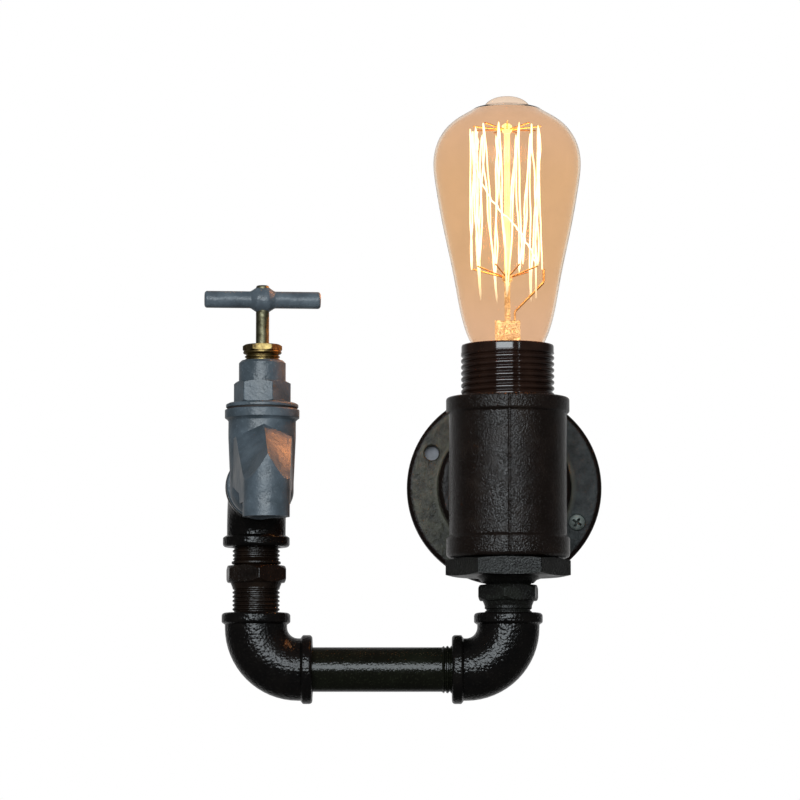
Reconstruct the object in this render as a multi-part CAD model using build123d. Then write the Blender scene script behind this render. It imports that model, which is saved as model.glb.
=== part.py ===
from build123d import *
import math
import os

# A wall light made of pipe fittings: a cast flange and tee carry the lampholder and bulb, and a
# U of smaller pipe below the tee carries a bib tap. Millimetres, +Z up, +X to the viewer's right.
# The wall is the plane Y = 0 and the light stands out from it towards -Y. The origin is the centre
# of the flange's back face, level with the tee's branch.

# Roundings that many pieces share
fine_round = 0.3
edge_round = 0.5
casting_round = 0.8

# Wall flange, heights measured out from the wall
flange_diameter = 87.5
flange_thickness = 6.0
flange_edge_round = 2.4
boss_height = 14.5
boss_edge_round = 3.0
boss_foot_round = 1.0
hub_diameter = 37.0
hub_height = 22.0
hub_edge_round = 1.5
hub_foot_round = 1.5
cavity_wall = 4.85
cavity_depth = 10.5
screw_edge_distance = 7.65
screw_boss_distance = 6.25
screw_hole_diameter = 6.7
screw_hole_count = 4
screw_hole_angle = -25.7
screw_hole_chamfer = 0.5

# Threads: crest diameter, depth and pitch; a female thread is a plain bore one clearance larger
wall_thread_crest = 26.4
wall_thread_depth = 1.16
pipe_thread_crest = 20.4
pipe_thread_depth = 0.7
pipe_thread_pitch = 1.814
bush_thread_crest = 41.9
bush_thread_depth = 1.3
bush_thread_pitch = 2.309
thread_clearance = 0.1
thread_lead_in = 0.6
crest_share = 0.28
root_share = 0.16
waterway_diameter = 15.0

# Tee, its run upright
tee_half_length = 34.8
tee_diameter = 51.0
tee_band_diameter = 53.6
tee_top_band = 6.2
tee_bottom_band = 8.6
tee_band_round = 1.2
tee_foot_round = 1.9
tee_band_slope = 1.0
tee_run_bore = 36.0
tee_branch_reach = 37.0
tee_branch_diameter = 34.0
tee_branch_band_diameter = 38.6
tee_branch_band = 6.0
tee_branch_fillet = 2.5
tee_port_depth = 20.0
tee_bush_depth = 14.0
tee_seam_width = 0.8
tee_seam_height = 0.35

# Wall nipple: how far it stands in the hub and in the tee's branch, and the thread left showing
nipple_hub_depth = 8.0
nipple_tee_depth = 12.0
nipple_showing = 3.0
nipple_bore = 19.0

# Reducing bush below the tee
bush_showing = 0.4
bush_across_flats = 47.1
bush_hex_height = 7.6
bush_hex_chamfer = 0.7
bush_cone_height = 2.8
bush_cone_top = 27.6
bush_cone_bottom = 22.2
bush_socket_depth = 10.0
bush_bore = 16.0
bush_thread_relief = 0.2

# Hexagon nipples and elbows
right_nipple_top_showing = 0.9
right_nipple_hex = 6.75
right_nipple_showing = 5.25
right_nipple_turn = 22.3
left_nipple_hex = 7.2
left_nipple_below = 13.1
left_nipple_above = 8.1
left_nipple_turn = -22.3
nipple_flats = 24.6
nipple_hex_chamfer = 1.7
hex_corner_round = 0.6
nipple_neck_diameter = 22.2
nipple_neck_height = 2.3
nipple_ring_diameter = 21.3
nipple_ring_gap = 0.9
nipple_ring_height = 0.9
nipple_relief = 0.1
elbow_reach = 24.4
elbow_bend = 18.3
elbow_diameter = 26.9
elbow_rim_diameter = 29.7
elbow_rim_width = 4.5
elbow_rim_round = 1.4
elbow_rim_foot_round = 0.8
elbow_rim_slope = 0.8
elbow_rim_sunk = 0.3
elbow_port_depth = 12.0
tap_elbow_diameter = 25.4
tap_elbow_rim_diameter = 28.9

# Cross pipe
cross_pipe_length = 84.2
cross_pipe_diameter = 19.2
cross_pipe_thread_showing = 4.4
cross_pipe_thread_hidden = 0.4

# Bib tap: distances in front of the riser, and heights above the inlet's axis
tap_turn = 5.2
spindle_reach = 44.0
mouth_reach = 78.0
inlet_ring_gap = 1.0
inlet_ring_diameter = 28.4
inlet_ring_width = 3.2
inlet_ring_round = 0.9
inlet_ring_slope = 0.8
inlet_neck_diameter = 21.5
inlet_neck_overlap = 2.0
inlet_bore = 13.0
barrel_bottom = -13.4
barrel_dome_round = 10.0
barrel_floor = 4.0
barrel_diameter = 26.8
barrel_top_diameter = 28.5
barrel_top = 26.9
barrel_taper_end = 7.6
collar_diameter = 31.5
collar_height = 4.2
collar_foot_drop = 0.7
collar_foot_inset = 0.9
collar_foot_rise = 0.6
seat_height = 8.0
seat_thickness = 3.0
seat_bore = 11.0
seat_lip = 0.8
seat_bevel_width = 1.4
seat_bevel_depth = 0.6
chamber_diameter = 19.0
lower_chamber_step = 1.2
lower_chamber_base = 8.0
lower_chamber_roof = 2.0
lower_chamber_floor_widening = 1.0
bonnet_socket_depth = 8.0
bonnet_thread_crest = 21.0
mouth_height = -16.4
spout_diameter = 19.4
spout_bore = 14.4
spout_passage = 11.0
passage_back_reach = 4.0
passage_rise = 5.5
passage_front_height = 2.5
mouth_chamfer = 0.6
spout_ridge_back = 23.9
spout_ridge_front = 8.0
spout_gable_back = 0.46
spout_gable_front = 1.8
spout_roof_margin = 2.0
spout_web_inset = 0.4
spout_under_back = -0.8
spout_under_front = -6.4
spout_under_round = 3.5
spout_under_margin = 4.0
spout_under_overlap = 0.6

# Bonnet, gland and spindle
washer_thickness = 0.8
washer_setback = 0.5
bonnet_flange_diameter = 30.6
bonnet_flange_thickness = 1.9
bonnet_flange_bevel_width = 1.2
bonnet_flange_bevel_height = 0.6
bonnet_flats = 21.2
bonnet_hex_height = 9.1
bonnet_hex_chamfer = 0.9
bonnet_turn = -72.5
bonnet_round_diameter = 19.8
bonnet_round_height = 9.0
bonnet_round_chamfer = 1.1
bonnet_foot_gap = 0.6
bonnet_foot_wall = 2.2
bonnet_thread_pitch = 1.5
hexagon_sunk = 0.5
hexagon_overlap = 0.1
spindle_bore = 11.0
spindle_bore_top = 10.0
packing_floor = 2.0
packing_web = 1.0
packing_thickness = 2.5
gland_thread_crest = 14.8
gland_thread_depth = 0.6
gland_thread_pitch = 1.3
gland_lead_in = 0.5
gland_eye_chamfer = 0.4
gland_core_inset = 1.0
gland_showing = 4.0
gland_ring_diameter = 16.2
gland_ring_height = 0.9
gland_flats = 14.6
gland_hex_height = 2.8
gland_hex_chamfer = 0.6
gland_turn = -63.5
spindle_diameter = 5.6
spindle_head_diameter = 13.0
spindle_head_height = 8.0
spindle_thread_pitch = 2.5
spindle_thread_depth = 0.6
spindle_thread_start_gap = 0.3
spindle_thread_end_gap = 0.6
spindle_tip = 0.7
spindle_tip_round = 0.9
running_clearance = 0.08
face_gap = 0.05
valve_lift = 6.25
valve_stop_gap = 0.1
jumper_stem_diameter = 4.8
jumper_stem_length = 9.0
jumper_socket_gap = 0.4
jumper_disc_diameter = 15.6
jumper_disc_thickness = 2.0
jumper_washer_diameter = 14.6
jumper_washer_thickness = 3.0
jumper_stud_diameter = 3.2
jumper_stud_tip = 0.5
jumper_nut_flats = 6.0
jumper_nut_height = 2.3
jumper_nut_chamfer = 0.4

# T handle
handle_height = 77.9
handle_length = 49.2
handle_bar_diameter = 7.2
handle_hub_diameter = 10.8
handle_end_round = 1.2
handle_hub_round = 2.6
handle_hub_flat = 2.4
handle_hub_foot = 5.1
handle_hub_foot_round = 1.6
handle_pin_diameter = 2.0
handle_pin_sunk = 0.5

# Lampholder, heights from the tee's top face
holder_showing = 23.1
holder_thread_crest = 40.6
holder_thread_depth = 1.25
holder_thread_pitch = 2.675
holder_plain_band = 3.6
holder_band_diameter = 40.2
holder_clearance = 0.3
holder_bore = 35.2
holder_mouth = 33.6
holder_mouth_round = 0.8
holder_lip_height = 2.0
holder_lip_bore = 29.0
cup_flange_inset = 0.2
cup_flange_thickness = 2.0
cup_diameter = 33.6
cup_foot_round = 2.0
cup_spigot_height = 1.7
cup_spigot_gap = 0.1
cup_wall = 2.4
cup_depth = 12.8
cable_bush_bore = 9.2
cable_bush_wall = 1.2
cable_bush_flange = 15.0
cable_bush_lip = 1.2
cable_bush_inner_lip = 0.8
core_thickness = 6.0
core_gap = 0.3
shell_wall = 0.55
shell_base_bore = 15.0
shell_bulb_clearance = 0.3
shell_wave = 0.7
shell_plain_end = 2.0
shell_above_thread = 1.5
shell_flange_diameter = 33.4
contact_width = 8.0
contact_strip = 0.7
contact_strip_width = 5.0
contact_strip_overhang = 1.0
contact_fold_inset = 0.5
contact_fold_length = 2.4
contact_fold_width = 4.0
contact_rivet_diameter = 3.0
contact_rivet_overhang = 0.7
shell_rivet_reach = 10.3
shell_rivet_diameter = 2.4
shell_rivet_overhang = 0.9
shell_rivet_head = 0.6
rivet_bevel = 0.3
rivet_gap = 0.1
terminal_reach = 8.0
terminal_length = 7.0
terminal_width = 5.6
terminal_height = 5.4
terminal_tab_overhang = 2.0
terminal_tab_width = 4.0
terminal_tab_thickness = 1.0
terminal_screw_diameter = 3.0
terminal_screw_head = 4.6
terminal_screw_height = 2.43
terminal_screw_head_height = 1.4
terminal_slot_depth = 0.6
terminal_slot_width = 0.7

# Bulb, heights from its contact's lowest point
bulb_contact_gap = 0.05
bulb_cap_height = 27.0
bulb_thread_crest = 26.2
bulb_thread_depth = 1.0
bulb_thread_pitch = 3.629
bulb_thread_start = 6.0
bulb_thread_end = 21.5
bulb_thread_foot_gap = 0.2
bulb_cap_wall = 0.5
bulb_cap_foot_bevel = 0.9
bulb_cap_shoulder = 0.6
bulb_cap_rim = 27.4
bulb_insulator_bottom = 1.3
bulb_insulator_top = 4.6
bulb_insulator_shoulder = 1.2
bulb_insulator_rise = 1.5
bulb_insulator_lip = 0.6
bulb_contact_diameter = 9.4
bulb_contact_crown = 6.6
bulb_contact_edge = 0.9
glass_wall = 1.0
glass_neck_bottom = 22.4
glass_neck_diameter = 25.4
glass_cement_gap = 0.1
# Outline above the contact: the neck's flare, the cone, the widest point, the dome and its crease
glass_outline = [
    (12.7, 27.4),
    (16.0, 33.1),
    (18.3, 38.4),
    (23.2, 61.0),
    (27.7, 82.4),
    (31.4, 103.2),
    (32.2, 111.2),
    (30.4, 121.1),
    (26.8, 127.0),
    (21.2, 131.8),
    (15.4, 135.3),
    (9.9, 137.2),
]
glass_tip_height = 141.4
glass_tip_shoulder = (7.1, 139.9)
glass_crown_rise = 1.0
glass_neck_direction = (0.35, 0, 1)
glass_dome_direction = (-1, 0, 0.25)
glass_nub_direction = (-0.5, 0, 1)
glass_tip_direction = (-1, 0, 0)

# Inside the bulb
stem_flare_height = 6.0
stem_flare_round = 2.5
stem_flare_edge = 0.9
stem_tube_diameter = 9.0
stem_wall = 1.2
stem_end_thickness = 2.0
stem_press_bottom = 32.0
stem_press_top = 42.6
stem_press_width = 11.0
stem_press_thickness = 4.0
stem_rod_diameter = 2.6
stem_rod_hold = 3.0
stem_button_diameter = 4.4
stem_button_flat = 3.0
stem_button_slope = 1.2
stem_lower_button_drop = 2.2
stem_upper_button_rise = 0.7
stem_upper_button_flat = 2.4
stem_rod_top = 1.5
cage_diameter = 32.6
cage_bottom = 65.6
cage_top = 128.0
cage_hairpins = 9
cage_gap = 24.0
cage_corner = 0.9
filament_end_gap = 1.6
support_upper_root = 1.0
support_lower_root = 3.7
support_stand_off = 0.05
filament_diameter = 0.7
support_diameter = 0.6
bulb_lead_diameter = 0.8
bulb_lead_spread = 3.2
bulb_lead_gap = 1.0
bulb_lead_straight = 4.0
bulb_lead_bend = 2.0
bulb_lead_drop = 6.0

# Wiring in the flange and the fittings
lead_diameter = 2.2
lead_spacing = 3.0
lead_drop = 4.0
lead_bend = 6.0
lead_small_bend = 2.4
lead_tight_bend = 1.6
lead_below_block = 5.0
lead_cavity_gap = 2.4
lead_above_cup = 1.4
lead_below_terminal = 2.6
block_length = 24.0
block_depth = 8.4
block_height = 9.0
block_wall_gap = 1.93
block_ways = 3
block_pitch = 7.8
block_clamp_diameter = 4.4
block_clamp_bore = 3.0
block_screw_diameter = 2.6
block_screw_length = 2.4
block_screw_clearance = 0.4
block_slot_depth = 0.5
block_slot_width = 0.6
block_fixing_diameter = 2.5
block_fixing_head = 4.2
block_fixing_head_height = 1.6
block_fixing_hold = 2.6
block_fixing_slot_depth = 0.6
block_fixing_slot_width = 0.7
earth_tag_thickness = 0.8
earth_tag_width = 7.0
earth_tag_reach = 16.0
earth_screw_diameter = 3.5
earth_screw_head = 6.4
earth_screw_head_height = 2.2
earth_screw_hold = 3.2
earth_crimp_diameter = 3.6
earth_crimp_length = 2.8
earth_crimp_gap = 0.2
earth_crimp_neck = 2.4
earth_crimp_neck_width = 2.6
earth_crimp_end = 0.6
earth_slot_depth = 0.7
earth_slot_width = 0.9

# Places that follow from the sizes above
screw_circle = flange_diameter - 2 * screw_edge_distance
boss_diameter = screw_circle - 2 * screw_boss_distance
cavity_diameter = boss_diameter - 2 * cavity_wall
tee_axis_y = -(hub_height + nipple_showing + tee_branch_reach)
bush_hex_top = -tee_half_length - bush_showing
bush_hex_bottom = bush_hex_top - bush_hex_height
bush_bottom = bush_hex_bottom - bush_cone_height
right_hex_top = bush_bottom - right_nipple_top_showing
right_hex_bottom = right_hex_top - right_nipple_hex
pipe_axis_z = right_hex_bottom - right_nipple_showing - elbow_reach
elbow_seat = elbow_reach - elbow_port_depth
riser_x = -(cross_pipe_length + 2 * elbow_seat)
left_hex_bottom = pipe_axis_z + elbow_reach + left_nipple_below
left_hex_top = left_hex_bottom + left_nipple_hex
inlet_z = left_hex_top + left_nipple_above + elbow_reach
collar_top = inlet_z + barrel_top + collar_height
washer_top = collar_top + washer_thickness
bonnet_hex_bottom = washer_top + bonnet_flange_thickness
bonnet_hex_top = bonnet_hex_bottom + bonnet_hex_height
bonnet_top = bonnet_hex_top + bonnet_round_height
packing_floor_z = bonnet_hex_top - packing_web + packing_floor
gland_top = bonnet_top + gland_showing + gland_hex_height
handle_z = inlet_z + handle_height
seat_z = inlet_z + seat_height
washer_z = seat_z + valve_stop_gap + valve_lift
disc_z = washer_z + jumper_washer_thickness
spindle_z = disc_z + jumper_disc_thickness + face_gap
holder_rim = tee_half_length + holder_showing
cup_seat = tee_half_length - tee_port_depth
skirt_bottom = cup_seat + cup_flange_thickness
core_bottom = skirt_bottom + cup_spigot_height
core_top = core_bottom + core_thickness
shell_top = core_top + bulb_thread_end + shell_above_thread
bulb_base = core_top + contact_strip * 2 + bulb_contact_gap
skirt_wall_inside = holder_bore / 2
terminal_bottom = core_bottom - terminal_height
terminal_screw_z = terminal_bottom + terminal_screw_height
cup_bottom = cup_seat - cup_depth
block_reach = cavity_diameter / 2 - block_wall_gap
block_offset = math.sqrt(block_reach**2 - (block_length / 2) ** 2) - block_height
block_z = block_offset + block_height / 2
block_y = -(cavity_depth - block_depth / 2)
lead_start = block_offset + 3 * block_height / 4
flat_to_corner = 1 / math.cos(math.radians(30))


def turned(*corners):
    """A solid of revolution about Z. A corner is (radius, height) or (radius, height, rounding)."""
    points = [(corner[0], 0, corner[1]) for corner in corners]
    rounding = [corner[2] if len(corner) > 2 else 0 for corner in corners]
    if any(rounding):
        outline = FilletPolyline(*points, radius=rounding, close=True)
    else:
        outline = Polyline(*points, close=True)
    return revolve(make_face(outline), axis=Axis.Z)


def thread(crest, depth, pitch, start, end):
    """Corners of a threaded stretch from start up to end: flat crests with a groove after each."""
    turns = max(1, int((end - start) / pitch))
    margin = (end - start - turns * pitch) / 2
    corners = []
    for turn in range(turns):
        base = start + margin + turn * pitch
        corners.append((crest, base + crest_share / 2 * pitch))
        corners.append((crest - depth, base + (1 - root_share) / 2 * pitch))
        corners.append((crest - depth, base + (1 + root_share) / 2 * pitch))
        corners.append((crest, base + (1 - crest_share / 2) * pitch))
    return corners


def hexagon(across_flats, bottom, top, turn, chamfer):
    """A hexagon bar with chamfered, slightly rounded corners; turn is one corner's angle from +X."""
    corner = across_flats / 2 * flat_to_corner
    outline = RegularPolygon(corner, 6)
    outline = fillet(outline.vertices(), hex_corner_round)
    bar = Pos(0, 0, bottom) * extrude(outline, top - bottom)
    envelope = turned(
        (0, bottom),
        (across_flats / 2, bottom),
        (corner, bottom + chamfer),
        (corner, top - chamfer),
        (across_flats / 2, top),
        (0, top),
    )
    return Rot(0, 0, turn) * (bar & envelope)


def rod(diameter, start, end):
    """A round bar between two points."""
    axis = Vector(*end) - Vector(*start)
    return Plane(origin=start, z_dir=axis) * extrude(Circle(diameter / 2), axis.length)


def wire_along(diameter, points, corner):
    """A round wire through the points, with tangent arcs at its corners."""
    path = FilletPolyline(*points, radius=corner)
    return sweep(Plane(origin=path @ 0, z_dir=path % 0) * Circle(diameter / 2), path=path)


def off_the_wall(piece):
    """Turn a piece modelled along +Z so that its height runs out from the wall, along -Y."""
    return Rot(90, 0, 0) * piece


def on_tee(piece):
    """Place a piece modelled about Z on the tee's upright axis."""
    return Pos(0, tee_axis_y, 0) * piece


def on_riser(piece):
    """Place a piece modelled about Z on the left riser's axis."""
    return Pos(riser_x, tee_axis_y, 0) * piece


def on_tap(piece):
    """Place a piece modelled with the riser at its origin and the spout along -Y."""
    return Pos(riser_x, tee_axis_y, 0) * Rot(0, 0, tap_turn) * piece


def on_spindle(piece):
    """Place a piece modelled about Z on the tap's spindle axis."""
    return on_tap(Pos(0, -spindle_reach, 0) * piece)


# Flange, wall nipple and tee


def wall_flange():
    plate = flange_diameter / 2
    boss = boss_diameter / 2
    hub = hub_diameter / 2
    socket = wall_thread_crest / 2 + thread_clearance
    casting = turned(
        (cavity_diameter / 2, 0),
        (plate, 0),
        (plate, flange_thickness, flange_edge_round),
        (boss, flange_thickness, boss_foot_round),
        (boss, boss_height, boss_edge_round),
        (hub, boss_height, hub_foot_round),
        (hub, hub_height, hub_edge_round),
        (socket + thread_lead_in, hub_height),
        (socket, hub_height - thread_lead_in),
        (socket, hub_height - nipple_hub_depth),
        (nipple_bore / 2, hub_height - nipple_hub_depth),
        (nipple_bore / 2, cavity_depth),
        (cavity_diameter / 2, cavity_depth),
    )
    hole = screw_hole_diameter / 2
    drill = turned(
        (0, 0),
        (hole, 0),
        (hole, flange_thickness - screw_hole_chamfer),
        (hole + screw_hole_chamfer, flange_thickness),
        (0, flange_thickness),
    )
    for number in range(screw_hole_count):
        angle = math.radians(screw_hole_angle + number * 360 / screw_hole_count)
        place = (screw_circle / 2 * math.cos(angle), screw_circle / 2 * math.sin(angle), 0)
        casting -= Pos(*place) * drill
    tapping = rod(
        earth_screw_diameter,
        (-earth_tag_reach, 0, cavity_depth),
        (-earth_tag_reach, 0, cavity_depth + earth_screw_hold),
    )
    fixing = rod(
        block_fixing_diameter,
        (block_pitch / 2, block_z, cavity_depth),
        (block_pitch / 2, block_z, cavity_depth + block_fixing_hold),
    )
    return off_the_wall(casting - tapping - fixing)


def wall_nipple():
    start = hub_height - nipple_hub_depth
    end = hub_height + nipple_showing + nipple_tee_depth
    crest = wall_thread_crest / 2
    ridges = thread(
        crest, wall_thread_depth, pipe_thread_pitch, start + thread_lead_in, end - thread_lead_in
    )
    return off_the_wall(
        turned(
            (nipple_bore / 2, start),
            (crest - thread_lead_in, start),
            *ridges,
            (crest - thread_lead_in, end),
            (nipple_bore / 2, end),
        )
    )


def tee():
    top = tee_half_length
    body = tee_diameter / 2
    band = tee_band_diameter / 2
    run = turned(
        (0, -top),
        (band, -top, tee_foot_round),
        (band, -top + tee_bottom_band, tee_band_round),
        (body, -top + tee_bottom_band + tee_band_slope, casting_round),
        (body, top - tee_top_band - tee_band_slope, casting_round),
        (band, top - tee_top_band, tee_band_round),
        (band, top, tee_band_round),
        (0, top),
    )
    branch_body = tee_branch_diameter / 2
    branch_band = tee_branch_band_diameter / 2
    branch = turned(
        (0, 0),
        (branch_body, 0),
        (branch_body, tee_branch_reach - tee_branch_band - tee_band_slope, casting_round),
        (branch_band, tee_branch_reach - tee_branch_band, tee_band_round),
        (branch_band, tee_branch_reach, tee_band_round),
        (0, tee_branch_reach),
    )
    branch = Rot(-90, 0, 0) * branch
    casting = run + branch
    meeting = [
        edge
        for edge in casting.edges()
        if edge.geom_type not in (GeomType.LINE, GeomType.CIRCLE) and edge.center().Y > 0
    ]
    casting = fillet(meeting, tee_branch_fillet)
    seam_length = 2 * top - tee_top_band - tee_bottom_band
    seam_middle = (tee_bottom_band - tee_top_band) / 2
    seam = Pos(0, -body, seam_middle) * Box(tee_seam_width, 2 * tee_seam_height, seam_length)
    casting += seam
    holder_port = holder_thread_crest / 2 + holder_clearance
    bush_port = bush_thread_crest / 2 + thread_clearance
    bore = turned(
        (0, -top),
        (bush_port + thread_lead_in, -top),
        (bush_port, -top + thread_lead_in),
        (bush_port, -top + tee_bush_depth),
        (tee_run_bore / 2, -top + tee_bush_depth),
        (tee_run_bore / 2, cup_seat),
        (holder_port, cup_seat),
        (holder_port, top - thread_lead_in),
        (holder_port + thread_lead_in, top),
        (0, top),
    )
    socket = wall_thread_crest / 2 + thread_clearance
    branch_bore = Rot(-90, 0, 0) * turned(
        (0, 0),
        (nipple_bore / 2, 0),
        (nipple_bore / 2, tee_branch_reach - nipple_tee_depth),
        (socket, tee_branch_reach - nipple_tee_depth),
        (socket, tee_branch_reach - thread_lead_in),
        (socket + thread_lead_in, tee_branch_reach),
        (0, tee_branch_reach),
    )
    return on_tee(casting - bore - branch_bore)


# Lower pipework


def reducing_bush():
    crest = bush_thread_crest / 2
    end = -tee_half_length + tee_bush_depth
    root = crest - bush_thread_depth
    foot = bush_hex_top + bush_thread_relief
    ridges = thread(crest, bush_thread_depth, bush_thread_pitch, foot, end - thread_lead_in)
    socket = pipe_thread_crest / 2 + thread_clearance
    body = turned(
        (0, bush_bottom),
        (bush_cone_bottom / 2, bush_bottom, edge_round),
        (bush_cone_top / 2, bush_hex_bottom),
        (root, bush_hex_bottom),
        (root, foot),
        *ridges,
        (crest - thread_lead_in, end),
        (0, end),
    )
    body += hexagon(bush_across_flats, bush_hex_bottom, bush_hex_top, 0, bush_hex_chamfer)
    bore = turned(
        (0, bush_bottom),
        (socket + thread_lead_in / 2, bush_bottom),
        (socket, bush_bottom + thread_lead_in),
        (socket, bush_bottom + bush_socket_depth),
        (bush_bore / 2, bush_bottom + bush_socket_depth),
        (bush_bore / 2, end),
        (0, end),
    )
    return on_tee(body - bore)


def hex_nipple(hex_bottom, hex_top, turn, bottom, top, ring):
    """A nipple threaded from bottom to top, with a hexagon, a conical neck under it and a ring."""
    crest = pipe_thread_crest / 2
    neck = nipple_neck_diameter / 2
    thread_size = (crest, pipe_thread_depth, pipe_thread_pitch)
    ring_bottom = hex_top + nipple_ring_gap
    ring_top = ring_bottom + nipple_ring_height
    above = ring_top + nipple_ring_gap / 2 if ring else hex_top + nipple_relief
    corners = [(waterway_diameter / 2, bottom), (crest - thread_lead_in, bottom)]
    corners += thread(*thread_size, bottom + thread_lead_in, hex_bottom - nipple_neck_height)
    corners += [(crest, hex_bottom - nipple_neck_height), (neck, hex_bottom)]
    if ring:
        collar = nipple_ring_diameter / 2
        corners += [
            (neck, hex_top),
            (crest - pipe_thread_depth, hex_top + nipple_ring_gap / 2),
            (collar, ring_bottom, fine_round),
            (collar, ring_top, fine_round),
        ]
    corners += [(crest - pipe_thread_depth, above)]
    corners += thread(*thread_size, above, top - thread_lead_in)
    corners += [(crest - thread_lead_in, top), (waterway_diameter / 2, top)]
    body = turned(*corners)
    bore = Pos(0, 0, bottom) * extrude(Circle(waterway_diameter / 2), top - bottom)
    nut = hexagon(nipple_flats, hex_bottom, hex_top, turn, nipple_hex_chamfer)
    return body + (nut - bore)


def right_hex_nipple():
    bottom = pipe_axis_z + elbow_seat
    top = bush_bottom + bush_socket_depth
    return on_tee(
        hex_nipple(right_hex_bottom, right_hex_top, right_nipple_turn, bottom, top, False)
    )


def left_hex_nipple():
    bottom = pipe_axis_z + elbow_seat
    top = inlet_z - elbow_seat
    return on_riser(
        hex_nipple(left_hex_bottom, left_hex_top, left_nipple_turn, bottom, top, True)
    )


def elbow_run(radius):
    """The path of a disc round an elbow, from its upper mouth to its mouth along X."""
    straight = elbow_reach - elbow_bend
    leg = Pos(0, 0, elbow_bend) * extrude(Circle(radius), straight)
    hinge = Axis((elbow_bend, 0, elbow_bend), (0, 1, 0))
    bend = revolve(Pos(0, 0, elbow_bend) * Circle(radius), axis=hinge, revolution_arc=-90)
    return leg + bend + Rot(0, 90, 0) * leg


def elbow(diameter, rim_diameter):
    """A quarter elbow with its mouths along +Z and +X and its axes crossing at the origin."""
    rim = rim_diameter / 2
    low = elbow_reach - elbow_rim_width
    ring = turned(
        (0, low - elbow_rim_slope),
        (diameter / 2 - elbow_rim_sunk, low - elbow_rim_slope),
        (rim, low + elbow_rim_slope / 2, elbow_rim_foot_round),
        (rim, elbow_reach, elbow_rim_round),
        (0, elbow_reach),
    )
    casting = elbow_run(diameter / 2) + ring + Rot(0, 90, 0) * ring
    socket = pipe_thread_crest / 2 + thread_clearance
    port = turned(
        (0, elbow_seat),
        (socket, elbow_seat),
        (socket, elbow_reach - thread_lead_in),
        (socket + thread_lead_in, elbow_reach),
        (0, elbow_reach),
    )
    return casting - elbow_run(waterway_diameter / 2) - port - Rot(0, 90, 0) * port


def left_elbow():
    return Pos(riser_x, tee_axis_y, pipe_axis_z) * elbow(elbow_diameter, elbow_rim_diameter)


def right_elbow():
    turned_round = Rot(0, 0, 180) * elbow(elbow_diameter, elbow_rim_diameter)
    return Pos(0, tee_axis_y, pipe_axis_z) * turned_round


def tap_elbow():
    facing_forward = Rot(0, 0, -90) * Rot(180, 0, 0) * elbow(
        tap_elbow_diameter, tap_elbow_rim_diameter
    )
    return on_tap(Pos(0, 0, inlet_z) * facing_forward)


def cross_pipe():
    crest = pipe_thread_crest / 2
    outside = cross_pipe_diameter / 2
    inside = waterway_diameter / 2
    end = cross_pipe_length
    near = elbow_port_depth - cross_pipe_thread_hidden
    far = end - elbow_port_depth - cross_pipe_thread_showing
    size = (crest, pipe_thread_depth, pipe_thread_pitch)
    tube = turned(
        (inside, 0),
        (crest - thread_lead_in, 0),
        *thread(*size, thread_lead_in, near),
        (outside, near),
        (outside, far),
        *thread(*size, far, end - thread_lead_in),
        (crest - thread_lead_in, end),
        (inside, end),
    )
    return Pos(riser_x + elbow_seat, tee_axis_y, pipe_axis_z) * Rot(0, 90, 0) * tube


# Bib tap


def barrel_outline():
    """The tap's upright barrel: a domed bottom, a slight taper and the collar under the bonnet."""
    lower = barrel_diameter / 2
    upper = barrel_top_diameter / 2
    collar = collar_diameter / 2
    return turned(
        (0, barrel_bottom),
        (lower, barrel_bottom, barrel_dome_round),
        (lower, 0),
        (upper, barrel_top - barrel_taper_end),
        (upper, barrel_top - collar_foot_drop, fine_round),
        (collar - collar_foot_inset, barrel_top, fine_round),
        (collar, barrel_top + collar_foot_rise, fine_round),
        (collar, barrel_top + collar_height, edge_round),
        (0, barrel_top + collar_height),
    )


def gable(y, ridge, slope, half_width, floor):
    """A house-shaped section across the spout at distance y, its ridge on the middle plane."""
    eave = ridge - slope * half_width
    corners = Polyline(
        (0, y, ridge),
        (half_width, y, eave),
        (half_width, y, floor),
        (-half_width, y, floor),
        (-half_width, y, eave),
        close=True,
    )
    return make_face(corners)


def spout_solid():
    """The spout: a horn from the barrel to the upright outlet, under a ridged, sloping top."""
    back = -spindle_reach
    front = -(mouth_reach + spout_diameter / 2)
    nose = barrel_top_diameter / 2
    half_back = barrel_diameter / 2
    half_front = spout_diameter / 2
    beyond = handle_height
    back_gable = gable(
        back - nose, spout_ridge_back, spout_gable_back, collar_diameter, -beyond
    )
    ahead = front - spout_roof_margin
    front_gable = gable(ahead, spout_ridge_front, spout_gable_front, collar_diameter, -beyond)
    roof = loft([front_gable, back_gable], ruled=True)
    roof += extrude(back_gable, nose, dir=(0, 1, 0))
    outlet = Pos(0, -mouth_reach, mouth_height) * extrude(Circle(half_front), beyond)
    web_plan = make_hull(
        (Pos(0, back) * Circle(half_back - spout_web_inset)).edges()
        + (Pos(0, -mouth_reach) * Circle(half_front)).edges()
    )
    web = Pos(0, 0, -beyond) * extrude(web_plan, 2 * beyond)
    inside = -mouth_reach + half_front - spout_under_overlap
    over_mouth = mouth_height + spout_under_margin
    under = spout_under_front - spout_under_margin
    side = FilletPolyline(
        (0, back, beyond),
        (0, front, beyond),
        (0, front, over_mouth),
        (0, -mouth_reach, over_mouth),
        (0, -mouth_reach, under),
        (0, inside, under),
        (0, inside, spout_under_front),
        (0, back, spout_under_back),
        radius=[0, 0, 0, 0, 0, 0, spout_under_round, 0],
        close=True,
    )
    side_block = extrude(make_face(side), collar_diameter, both=True)
    return (web & side_block & roof) + (outlet & roof)


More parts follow.
